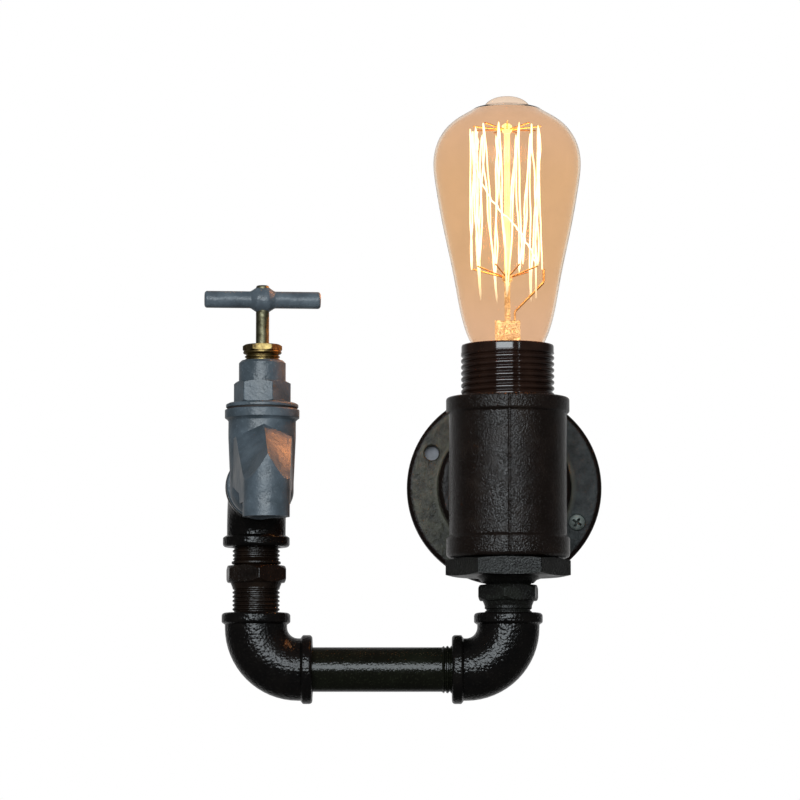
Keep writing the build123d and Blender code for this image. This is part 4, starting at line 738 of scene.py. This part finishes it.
# Filament: one long hair strung up and down over hooks round the cage, high and low by turns, slack
# and uneven, every third bow dropping lower
cage = {
    "Corners": 27,
    "Radius": 16.0 * mm,
    "Gap": math.radians(26),
    "Top": 153.0 * mm,
    "Bottom": 92.0 * mm,
    "Drop": 14.0 * mm,
    "Draw In": 0.24,
    "Slack": 1.2 * mm,
    "Wire": 0.36 * mm,
    "Seed": 7,
}
hairLay = {"stray": 0.08, "spread": (0.5, 0.5, 0.25), "cuts": 5, "bends": 3, "sides": 6}
slackStrand = [  # one loose strand in front, x, y and z in mm
    (-13, -69, 151),
    (-14, -71, 138),
    (-11.5, -74, 127),
    (-6, -76, 118),
    (0, -77, 111),
    (6, -76, 105),
    (10, -73, 98),
    (12, -70, 92),
]
tree, given = newForm("strungCage", cage)
index = addNode(tree, "GeometryNodeInputIndex").outputs["Index"]
line = addNode(tree, "GeometryNodeMeshLine", {"Count": given["Corners"]})
last = addNode(tree, "ShaderNodeMath", {0: given["Corners"], 1: 1.0}, operation="SUBTRACT")
share = addNode(tree, "ShaderNodeMath", {0: index, 1: last.outputs["Value"]}, operation="DIVIDE")
sweep = addNode(tree, "ShaderNodeMath", {0: 2 * math.pi, 1: given["Gap"]}, operation="SUBTRACT")
half = addNode(tree, "ShaderNodeMath", {0: given["Gap"], 1: 0.5}, operation="MULTIPLY")
turn = addNode(tree, "ShaderNodeMath", {
    0: share.outputs["Value"], 1: sweep.outputs["Value"], 2: half.outputs["Value"]
}, operation="MULTIPLY_ADD")
odd = addNode(tree, "ShaderNodeMath", {0: index, 1: 2.0}, operation="MODULO")
third = addNode(tree, "ShaderNodeMath", {0: index, 1: 6.0}, operation="MODULO")
lowest = addNode(tree, "ShaderNodeMath", {0: third.outputs["Value"], 1: 2.0, 2: 0.1}, operation="COMPARE")
height = addNode(tree, "ShaderNodeMapRange", {
    "Value": odd.outputs["Value"], "To Min": given["Bottom"], "To Max": given["Top"]
})
dropped = addNode(tree, "ShaderNodeMath", {
    0: lowest.outputs["Value"], 1: given["Drop"], 2: 0.0
}, operation="MULTIPLY_ADD")
level = addNode(tree, "ShaderNodeMath", {
    0: height.outputs["Result"], 1: dropped.outputs["Value"]
}, operation="SUBTRACT")
astray = addNode(tree, "FunctionNodeRandomValue", {
    2: -hairLay["stray"], 3: hairLay["stray"], "Seed": given["Seed"]
}, data_type="FLOAT")
turn = addNode(tree, "ShaderNodeMath", {0: turn.outputs["Value"], 1: astray.outputs[1]}, operation="ADD")
cosine = addNode(tree, "ShaderNodeMath", {0: turn.outputs["Value"]}, operation="COSINE")
sine = addNode(tree, "ShaderNodeMath", {0: turn.outputs["Value"]}, operation="SINE")
drawnIn = addNode(tree, "ShaderNodeMath", {
    0: lowest.outputs["Value"], 1: given["Draw In"]
}, operation="MULTIPLY")
drawnTo = addNode(tree, "ShaderNodeMath", {0: 1.0, 1: drawnIn.outputs["Value"]}, operation="SUBTRACT")
reach = addNode(tree, "ShaderNodeMath", {
    0: drawnTo.outputs["Value"], 1: given["Radius"]
}, operation="MULTIPLY")
across = addNode(tree, "ShaderNodeMath", {
    0: cosine.outputs["Value"], 1: reach.outputs["Value"]
}, operation="MULTIPLY")
outward = addNode(tree, "ShaderNodeMath", {
    0: sine.outputs["Value"], 1: reach.outputs["Value"], 2: teeAxis
}, operation="MULTIPLY_ADD")
corner = addNode(tree, "ShaderNodeCombineXYZ", {
    "X": across.outputs["Value"], "Y": outward.outputs["Value"], "Z": level.outputs["Value"]
})
strung = addNode(tree, "GeometryNodeSetPosition", {
    "Geometry": line.outputs["Mesh"], "Position": corner.outputs["Vector"]
})
both = addNode(tree, "GeometryNodeJoinGeometry")
tree.links.new(strung.outputs["Geometry"], both.inputs["Geometry"])
tree.links.new(given["Geometry"], both.inputs["Geometry"])
curve = addNode(tree, "GeometryNodeMeshToCurve", {"Mesh": both.outputs["Geometry"]})
divided = addNode(tree, "GeometryNodeSubdivideCurve", {
    "Curve": curve.outputs["Curve"], "Cuts": hairLay["cuts"]
})
spreadBack = tuple(-part for part in hairLay["spread"])
least = addNode(tree, "ShaderNodeVectorMath", {0: spreadBack, "Scale": given["Slack"]}, operation="SCALE")
most = addNode(tree, "ShaderNodeVectorMath", {
    0: hairLay["spread"], "Scale": given["Slack"]
}, operation="SCALE")
sway = addNode(tree, "FunctionNodeRandomValue", {
    "Min": least.outputs["Vector"], "Max": most.outputs["Vector"], "Seed": given["Seed"]
}, data_type="FLOAT_VECTOR")
uneven = addNode(tree, "GeometryNodeSetPosition", {
    "Geometry": divided.outputs["Curve"], "Offset": sway.outputs["Value"]
})
smooth = addNode(tree, "GeometryNodeCurveSplineType", {
    "Curve": uneven.outputs["Geometry"]
}, spline_type="CATMULL_ROM")
fineCurve = addNode(tree, "GeometryNodeSetSplineResolution", {
    "Geometry": smooth.outputs["Curve"], "Resolution": hairLay["bends"]
})
hair = addNode(tree, "GeometryNodeCurvePrimitiveCircle", {
    "Resolution": hairLay["sides"], "Radius": given["Wire"]
})
tube = addNode(tree, "GeometryNodeCurveToMesh", {
    "Curve": fineCurve.outputs["Geometry"], "Profile Curve": hair.outputs["Curve"], "Fill Caps": True
})
endForm(tree, tube.outputs["Mesh"], litFilament)
form = bmesh.new()
knots = [form.verts.new((x * mm, y * mm, z * mm)) for x, y, z in slackStrand]
for first, second in zip(knots, knots[1:]):
    form.edges.new((first, second))
filament = shapeWith(newPiece("filamentCage", form), tree, cage, "bulb")
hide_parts("filament")
print("filament strung:", len(filament.data.polygons), "faces")


# Holder thread: a lathe-turned sleeve whose plain outside is cut by Geometry Nodes into a real helix
# with narrow rounded crests and sharp roots. Radii and heights in mm
sleeve = {
    "around": 96,
    "rowsPerTurn": 14,
    "pitch": 2.675,
    "crest": 20.3,
    "band": 20.1,
    "bottom": 16.8,
    "ridgesEnd": 54.3,
    "rim": 57.9,
    "rimRound": (0.8, 0.2),
    "bandRows": (2.6, 2.4, 1.8, 1.2, 0.6, 0.3, 0.2),  # above the ridges' end
}
sleeveBore = [(17.6, 16.8), (17.6, 47.5), (14.5, 47.5), (14.5, 49.5), (16.8, 49.5), (16.8, 57.5), (17.2, 57.9)]
helix = {
    "Pitch": sleeve["pitch"] * mm,
    "Depth": 1.25 * mm,
    "Flatness": 1.25,
    "Crest": sleeve["crest"] * mm,
    "Start": sleeve["bottom"] * mm,
    "End": sleeve["ridgesEnd"] * mm,
    "Run Out": 0.6 * mm,
    "Skin": 0.1 * mm,
}
band, rim = sleeve["band"], sleeve["rim"]
wide, slight = sleeve["rimRound"]
profile = sleeveBore + [(band - wide, rim), (band - slight, rim - slight), (band, rim - wide)]
profile += [(band, sleeve["ridgesEnd"] + lift) for lift in sleeve["bandRows"]]
ridged = sleeve["ridgesEnd"] - sleeve["bottom"]
rowCount = int(ridged / sleeve["pitch"] * sleeve["rowsPerTurn"])
profile += [(sleeve["crest"], sleeve["ridgesEnd"] - row * ridged / rowCount) for row in range(rowCount + 1)]
form = bmesh.new()
rings = [
    newRing(form, sleeve["around"], lambda c, s: (radius * mm * c, teeAxis + radius * mm * s, height * mm))
    for radius, height in profile
]
skinRings(form, rings, loop=True)
for face in form.faces:
    face.smooth = True
threaded = newPiece("threadedSkirt", form)
threaded.data.materials.append(phenolic)

tree, given = newForm("cutHelix", helix)
at = addNode(tree, "GeometryNodeInputPosition").outputs["Position"]
centred = addNode(tree, "ShaderNodeVectorMath", {0: at, 1: (0, -teeAxis, 0)}, operation="ADD")
axes = addNode(tree, "ShaderNodeSeparateXYZ", {"Vector": centred.outputs["Vector"]})
flat = addNode(tree, "ShaderNodeVectorMath", {
    0: centred.outputs["Vector"], 1: (1, 1, 0)
}, operation="MULTIPLY")
radius = addNode(tree, "ShaderNodeVectorMath", {
    0: flat.outputs["Vector"]
}, operation="LENGTH").outputs["Value"]
outDirection = addNode(tree, "ShaderNodeVectorMath", {0: flat.outputs["Vector"]}, operation="NORMALIZE")
bearing = addNode(tree, "ShaderNodeMath", {0: axes.outputs["Y"], 1: axes.outputs["X"]}, operation="ARCTAN2")
turns = addNode(tree, "ShaderNodeMath", {0: bearing.outputs["Value"], 1: 2 * math.pi}, operation="DIVIDE")
risen = addNode(tree, "ShaderNodeMath", {0: axes.outputs["Z"], 1: given["Pitch"]}, operation="DIVIDE")
phase = addNode(tree, "ShaderNodeMath", {
    0: risen.outputs["Value"], 1: turns.outputs["Value"]
}, operation="SUBTRACT")
fold = addNode(tree, "ShaderNodeMath", {0: phase.outputs["Value"], 1: 0.5}, operation="PINGPONG")
wave = addNode(tree, "ShaderNodeMath", {0: fold.outputs["Value"], 1: math.pi}, operation="MULTIPLY")
crest = addNode(tree, "ShaderNodeMath", {0: wave.outputs["Value"]}, operation="SINE")
cut = addNode(tree, "ShaderNodeMath", {0: 1.0, 1: crest.outputs["Value"]}, operation="SUBTRACT")
startsIn = addNode(tree, "ShaderNodeMath", {0: axes.outputs["Z"], 1: given["Start"]}, operation="SUBTRACT")
endsIn = addNode(tree, "ShaderNodeMath", {0: given["End"], 1: axes.outputs["Z"]}, operation="SUBTRACT")
nearest = addNode(tree, "ShaderNodeMath", {
    0: startsIn.outputs["Value"], 1: endsIn.outputs["Value"]
}, operation="MINIMUM")
runOut = addNode(tree, "ShaderNodeMapRange", {
    "Value": nearest.outputs["Value"], "From Max": given["Run Out"]
})
outside = addNode(tree, "ShaderNodeMath", {0: given["Crest"], 1: given["Skin"]}, operation="SUBTRACT")
onOutside = addNode(tree, "ShaderNodeMath", {
    0: radius, 1: outside.outputs["Value"]
}, operation="GREATER_THAN")
where = addNode(tree, "ShaderNodeMath", {
    0: runOut.outputs["Result"], 1: onOutside.outputs["Value"]
}, operation="MULTIPLY")
flatter = addNode(tree, "ShaderNodeMath", {0: cut.outputs["Value"], 1: given["Flatness"]}, operation="POWER")
depth = addNode(tree, "ShaderNodeMath", {
    0: flatter.outputs["Value"], 1: given["Depth"]
}, operation="MULTIPLY")
amount = addNode(tree, "ShaderNodeMath", {
    0: depth.outputs["Value"], 1: where.outputs["Value"]
}, operation="MULTIPLY")
pull = addNode(tree, "ShaderNodeMath", {0: amount.outputs["Value"], 1: -1.0}, operation="MULTIPLY")
offset = addNode(tree, "ShaderNodeVectorMath", {
    0: outDirection.outputs["Vector"], "Scale": pull.outputs["Value"]
}, operation="SCALE")
cutSleeve = addNode(tree, "GeometryNodeSetPosition", {
    "Geometry": given["Geometry"], "Offset": offset.outputs["Vector"]
})
endForm(tree, cutSleeve.outputs["Geometry"], phenolic)
shapeWith(threaded, tree, helix, "root")
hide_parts("holder_skirt")
print("holder thread cut:", len(threaded.data.polygons), "faces")


# Wall screws: countersunk cross-head screws, seated in the flange's holes, each turned its own way.
# The hole at the upper left has none, only a grey disc whose colour is painted shade: the wall seen in shadow
# through the hole
screw = {
    "around": 64,
    "headRadius": 3.55,
    "headRings": (0.01, 0.25, 0.5, 0.75, 1.0, 1.25, 1.5, 1.75, 2.0, 2.2, 2.5, 2.9, 3.25, 3.45, 3.55),
    "dome": 0.35,
    "crossHalf": 0.48,
    "crossReach": 2.1,
    "crossDepth": 1.3,
    "behindHead": ((3.3, 0.5), (2.2, 1.7), (2.2, 5.9)),  # the cone and the shank, radius and depth
}


# A corner of the screw's head: domed, with the cross sunk into it
def headCorner(radius, cosine, sine):
    x, z = radius * cosine, radius * sine
    dome = screw["dome"] * (1 - (radius / screw["headRadius"]) ** 2)
    inCross = min(abs(x), abs(z)) < screw["crossHalf"] and radius < screw["crossReach"]
    sunk = screw["crossDepth"] * (1 - radius / screw["crossReach"]) ** 0.5 if inCross else 0
    return (x * mm, (-dome + sunk) * mm, z * mm)


greyed = steel("weatheredZincSteel", dict(zincLook, dull="3f4340", base="6a6f6b", rough=0.42))
form = bmesh.new()
rings = [
    newRing(form, screw["around"], lambda c, s: headCorner(radius, c, s)) for radius in screw["headRings"]
]
rings += [
    newRing(form, screw["around"], lambda c, s: (radius * mm * c, back * mm, radius * mm * s))
    for radius, back in screw["behindHead"]
]
skinRings(form, rings, loop=False)
wallScrews = newPiece("wallScrews", form)

holes = {
    "Holes": 4,
    "Circle": 36.1 * mm,
    "First": math.radians(-25.7),
    "Left Out": 2,
    "Face": -6.1 * mm,
    "Cross": 0.2,
    "Seed": 3,
}
driveSpread = 0.5  # how far a cross may turn either way, in radians
tree, given = newForm("setScrews", holes)
index = addNode(tree, "GeometryNodeInputIndex").outputs["Index"]
spots = addNode(tree, "GeometryNodeMeshLine", {"Count": given["Holes"]})
apart = addNode(tree, "ShaderNodeMath", {0: 2 * math.pi, 1: given["Holes"]}, operation="DIVIDE")
turn = addNode(tree, "ShaderNodeMath", {
    0: index, 1: apart.outputs["Value"], 2: given["First"]
}, operation="MULTIPLY_ADD")
cosine = addNode(tree, "ShaderNodeMath", {0: turn.outputs["Value"]}, operation="COSINE")
sine = addNode(tree, "ShaderNodeMath", {0: turn.outputs["Value"]}, operation="SINE")
across = addNode(tree, "ShaderNodeMath", {
    0: cosine.outputs["Value"], 1: given["Circle"]
}, operation="MULTIPLY")
upward = addNode(tree, "ShaderNodeMath", {0: sine.outputs["Value"], 1: given["Circle"]}, operation="MULTIPLY")
seat = addNode(tree, "ShaderNodeCombineXYZ", {
    "X": across.outputs["Value"], "Y": given["Face"], "Z": upward.outputs["Value"]
})
placed = addNode(tree, "GeometryNodeSetPosition", {
    "Geometry": spots.outputs["Mesh"], "Position": seat.outputs["Vector"]
})
empty = addNode(tree, "ShaderNodeMath", {0: index, 1: given["Left Out"], 2: 0.1}, operation="COMPARE")
kept = addNode(tree, "GeometryNodeDeleteGeometry", {
    "Geometry": placed.outputs["Geometry"], "Selection": empty.outputs["Value"]
}, domain="POINT")
driven = addNode(tree, "FunctionNodeRandomValue", {
    2: -driveSpread, 3: driveSpread, "Seed": given["Seed"]
}, data_type="FLOAT")
crossTurn = addNode(tree, "ShaderNodeMath", {0: driven.outputs[1], 1: given["Cross"]}, operation="ADD")
facing = addNode(tree, "ShaderNodeCombineXYZ", {"Y": crossTurn.outputs["Value"]})
screwsSet = addNode(tree, "GeometryNodeInstanceOnPoints", {
    "Points": kept.outputs["Geometry"], "Instance": given["Geometry"], "Rotation": facing.outputs["Vector"]
})
endForm(tree, screwsSet.outputs["Instances"], greyed)
shapeWith(wallScrews, tree, holes, "root")

# A shallow dished disc tight in the empty hole, grey and matt, its grey painted shade that stands for the wall
# seen in shadow behind the hole
holeDisc = {
    "around": 48,
    "radius": 3.33,
    "lip": 2.9,
    "dishRadius": 2.0,
    "middle": 0.02,
    "front": -1.6,
    "lipRound": 0.1,
    "back": -0.3,
    "dish": 0.35,
    "look": {"dark": "74757a", "light": "85868c", "rough": 0.55, "grain": 2.0, "height": 0.04},
}
holeDiscTurn = holes["First"] + math.pi
centre = Vector((holes["Circle"] * math.cos(holeDiscTurn), 0, holes["Circle"] * math.sin(holeDiscTurn)))
holeDiscOutline = [
    (holeDisc["middle"], holeDisc["front"] + holeDisc["dish"]),
    (holeDisc["dishRadius"], holeDisc["front"] + holeDisc["dish"]),
    (holeDisc["lip"], holeDisc["front"]),
    (holeDisc["radius"], holeDisc["front"] + holeDisc["lipRound"]),
    (holeDisc["radius"], holeDisc["back"]),
    (holeDisc["middle"], holeDisc["back"]),
]
form = bmesh.new()
rings = [
    newRing(form, holeDisc["around"], lambda c, s: centre + Vector((radius * c, depth, radius * s)) * mm)
    for radius, depth in holeDiscOutline
]
skinRings(form, rings, loop=False)
for face in form.faces:
    face.smooth = True
shadedWallDisc = newPiece("shadedWallDisc", form)
shadedWallDisc.data.materials.append(moulded("greyDiscPaintedWallShade", holeDisc["look"]))
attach(shadedWallDisc, "root")
print("screws and plug set")


# Stage: a pale floor below the light, a white studio behind it, a broad window to the front, a thin
# strip to its right, and the lamp in the bulb
world = bpy.data.worlds.new("studio")
bpy.context.scene.world = world
world.use_nodes = True
tree = world.node_tree
tree.nodes.clear()
studio = {"soft": 0.2, "front": 0.05, "behind": 0.55, "seen": 1.0}
rays = addNode(tree, "ShaderNodeLightPath")
aim = addNode(tree, "ShaderNodeTexCoord").outputs["Generated"]
along = addNode(tree, "ShaderNodeSeparateXYZ", {"Vector": aim})
behind = addNode(tree, "ShaderNodeMapRange", {
    "Value": along.outputs["Y"],
    "From Min": 0.5,
    "From Max": 1.0,
    "To Min": studio["front"],
    "To Max": studio["behind"],
})
seen = addNode(tree, "ShaderNodeMath", {
    0: rays.outputs["Is Camera Ray"], 1: rays.outputs["Is Transmission Ray"]
}, operation="MAXIMUM")
shone = addNode(tree, "ShaderNodeMix", {
    "Factor": rays.outputs["Is Glossy Ray"], 2: studio["soft"], 3: behind.outputs["Result"]
}, data_type="FLOAT")
level = addNode(tree, "ShaderNodeMix", {
    "Factor": seen.outputs["Value"], 2: shone.outputs[0], 3: studio["seen"]
}, data_type="FLOAT")
sky = addNode(tree, "ShaderNodeBackground", {"Color": (1, 1, 1, 1), "Strength": level.outputs[0]})
addNode(tree, "ShaderNodeOutputWorld", {"Surface": sky.outputs["Background"]})

aimPoint = Vector((-0.05, -0.06, 0.03))
softLights = {
    "window": {"at": (-0.33, -2.06, 0.42), "size": (1.5, 0.95), "power": 37, "tone": "e8f1f6"},
    "strip": {"at": (0.9, -1.8, 0.5), "size": (0.07, 1.2), "power": 1.6, "tone": "e8f1f6"},
}
for name, look in softLights.items():
    lamp = bpy.data.lights.new(name, "AREA")
    lamp.shape = "RECTANGLE"
    lamp.size, lamp.size_y = look["size"]
    lamp.energy = look["power"]
    lamp.color = colour(look["tone"])[:3]
    hung = bpy.data.objects.new(name, lamp)
    hung.location = look["at"]
    hung.rotation_euler = (aimPoint - hung.location).to_track_quat("-Z", "Y").to_euler()
    bpy.context.scene.collection.objects.link(hung)

# The lamp in the bulb warms all but the flange, and the bulb's own pieces cast no shadow of it
bulbLamp = {"height": 122 * mm, "power": 0.7, "tone": "ff9c50", "radius": 14 * mm}
glow = bpy.data.lights.new("bulbGlow", "POINT")
glow.energy = bulbLamp["power"]
glow.color = colour(bulbLamp["tone"])[:3]
glow.shadow_soft_size = bulbLamp["radius"]
lit = bpy.data.objects.new("bulbGlow", glow)
lit.location = (0, teeAxis, bulbLamp["height"])
lit.visible_camera = False
lit.visible_transmission = False
bpy.context.scene.collection.objects.link(lit)
warmed = bpy.data.collections.new("warmedByBulb")
for name, part in nodes.items():
    if name != "wall_flange":
        warmed.objects.link(part)
warmed.objects.link(threaded)
lit.light_linking.receiver_collection = warmed
for name in ("bulb_glass", "bulb_stem"):
    nodes[name].visible_shadow = False
filament.visible_shadow = False

# Pale floor, half white near the light and all white further out, for the camera alone, so that its
# edge never shows
floorLook = {
    "half": 2.4,
    "level": -0.25,
    "cuts": 6,
    "tones": ("e4e2dd", "e9e7e3"),
    "speck": 25 * mm,
    "rough": 0.8,
    "fade": (0.45, 1.3),
    "least": 0.5,
}
form = bmesh.new()
corners = [(-1, -1), (1, -1), (1, 1), (-1, 1)]
half, level = floorLook["half"], floorLook["level"]
form.faces.new([form.verts.new((x * half, y * half, level)) for x, y in corners])
bmesh.ops.subdivide_edges(form, edges=form.edges, cuts=floorLook["cuts"], use_grid_fill=True)
floor = newPiece("floor", form)
material, tree, shader, place = newMaterial("paleFloor")
speck = addNode(tree, "ShaderNodeTexNoise", {"Vector": place, "Scale": 1 / floorLook["speck"], "Detail": 4.0})
stops = list(zip((0.3, 0.7), floorLook["tones"]))
tint = addNode(tree, "ShaderNodeValToRGB", {"Fac": speck.outputs["Fac"]}, stops=stops)
tree.links.new(tint.outputs["Color"], shader.inputs["Base Color"])
shader.inputs["Roughness"].default_value = floorLook["rough"]
away = addNode(tree, "ShaderNodeVectorMath", {0: place, 1: (1, 1, 0)}, operation="MULTIPLY")
far = addNode(tree, "ShaderNodeVectorMath", {0: away.outputs["Vector"]}, operation="LENGTH")
near, gone = floorLook["fade"]
fade = addNode(tree, "ShaderNodeMapRange", {
    "Value": far.outputs["Value"], "From Min": near, "From Max": gone, "To Min": floorLook["least"]
})
rays = addNode(tree, "ShaderNodeLightPath")
seen = addNode(tree, "ShaderNodeMath", {
    0: rays.outputs["Is Camera Ray"], 1: rays.outputs["Is Transmission Ray"]
}, operation="MAXIMUM")
whitened = addNode(tree, "ShaderNodeMath", {
    0: fade.outputs["Result"], 1: seen.outputs["Value"]
}, operation="MULTIPLY")
white = addNode(tree, "ShaderNodeEmission", {"Color": (1, 1, 1, 1), "Strength": 1.0})
blend = addNode(tree, "ShaderNodeMixShader", {
    "Fac": whitened.outputs["Value"], 1: shader.outputs["BSDF"], 2: white.outputs["Emission"]
})
output = next(node for node in tree.nodes if node.type == "OUTPUT_MATERIAL")
tree.links.new(blend.outputs["Shader"], output.inputs["Surface"])
floor.data.materials.append(material)
floor.visible_glossy = False
floor.visible_diffuse = False

# The camera stands a little left of the light and low, and looks slightly up at its middle
view = {
    "lens": 166.3,
    "sensor": 36,
    "clip": (0.05, 50),
    "at": (-0.0468, -1.65981, -0.125),
    "tilt": math.radians(95.681),
}
camera = bpy.data.cameras.new("photographer")
camera.lens = view["lens"]
camera.sensor_width = view["sensor"]
camera.clip_start, camera.clip_end = view["clip"]
cameraObject = bpy.data.objects.new("photographer", camera)
cameraObject.location = view["at"]
cameraObject.rotation_euler = (view["tilt"], 0, 0)
bpy.context.scene.collection.objects.link(cameraObject)
bpy.context.scene.camera = cameraObject

bpy.context.scene.view_settings.view_transform = "Standard"
print("stage done")
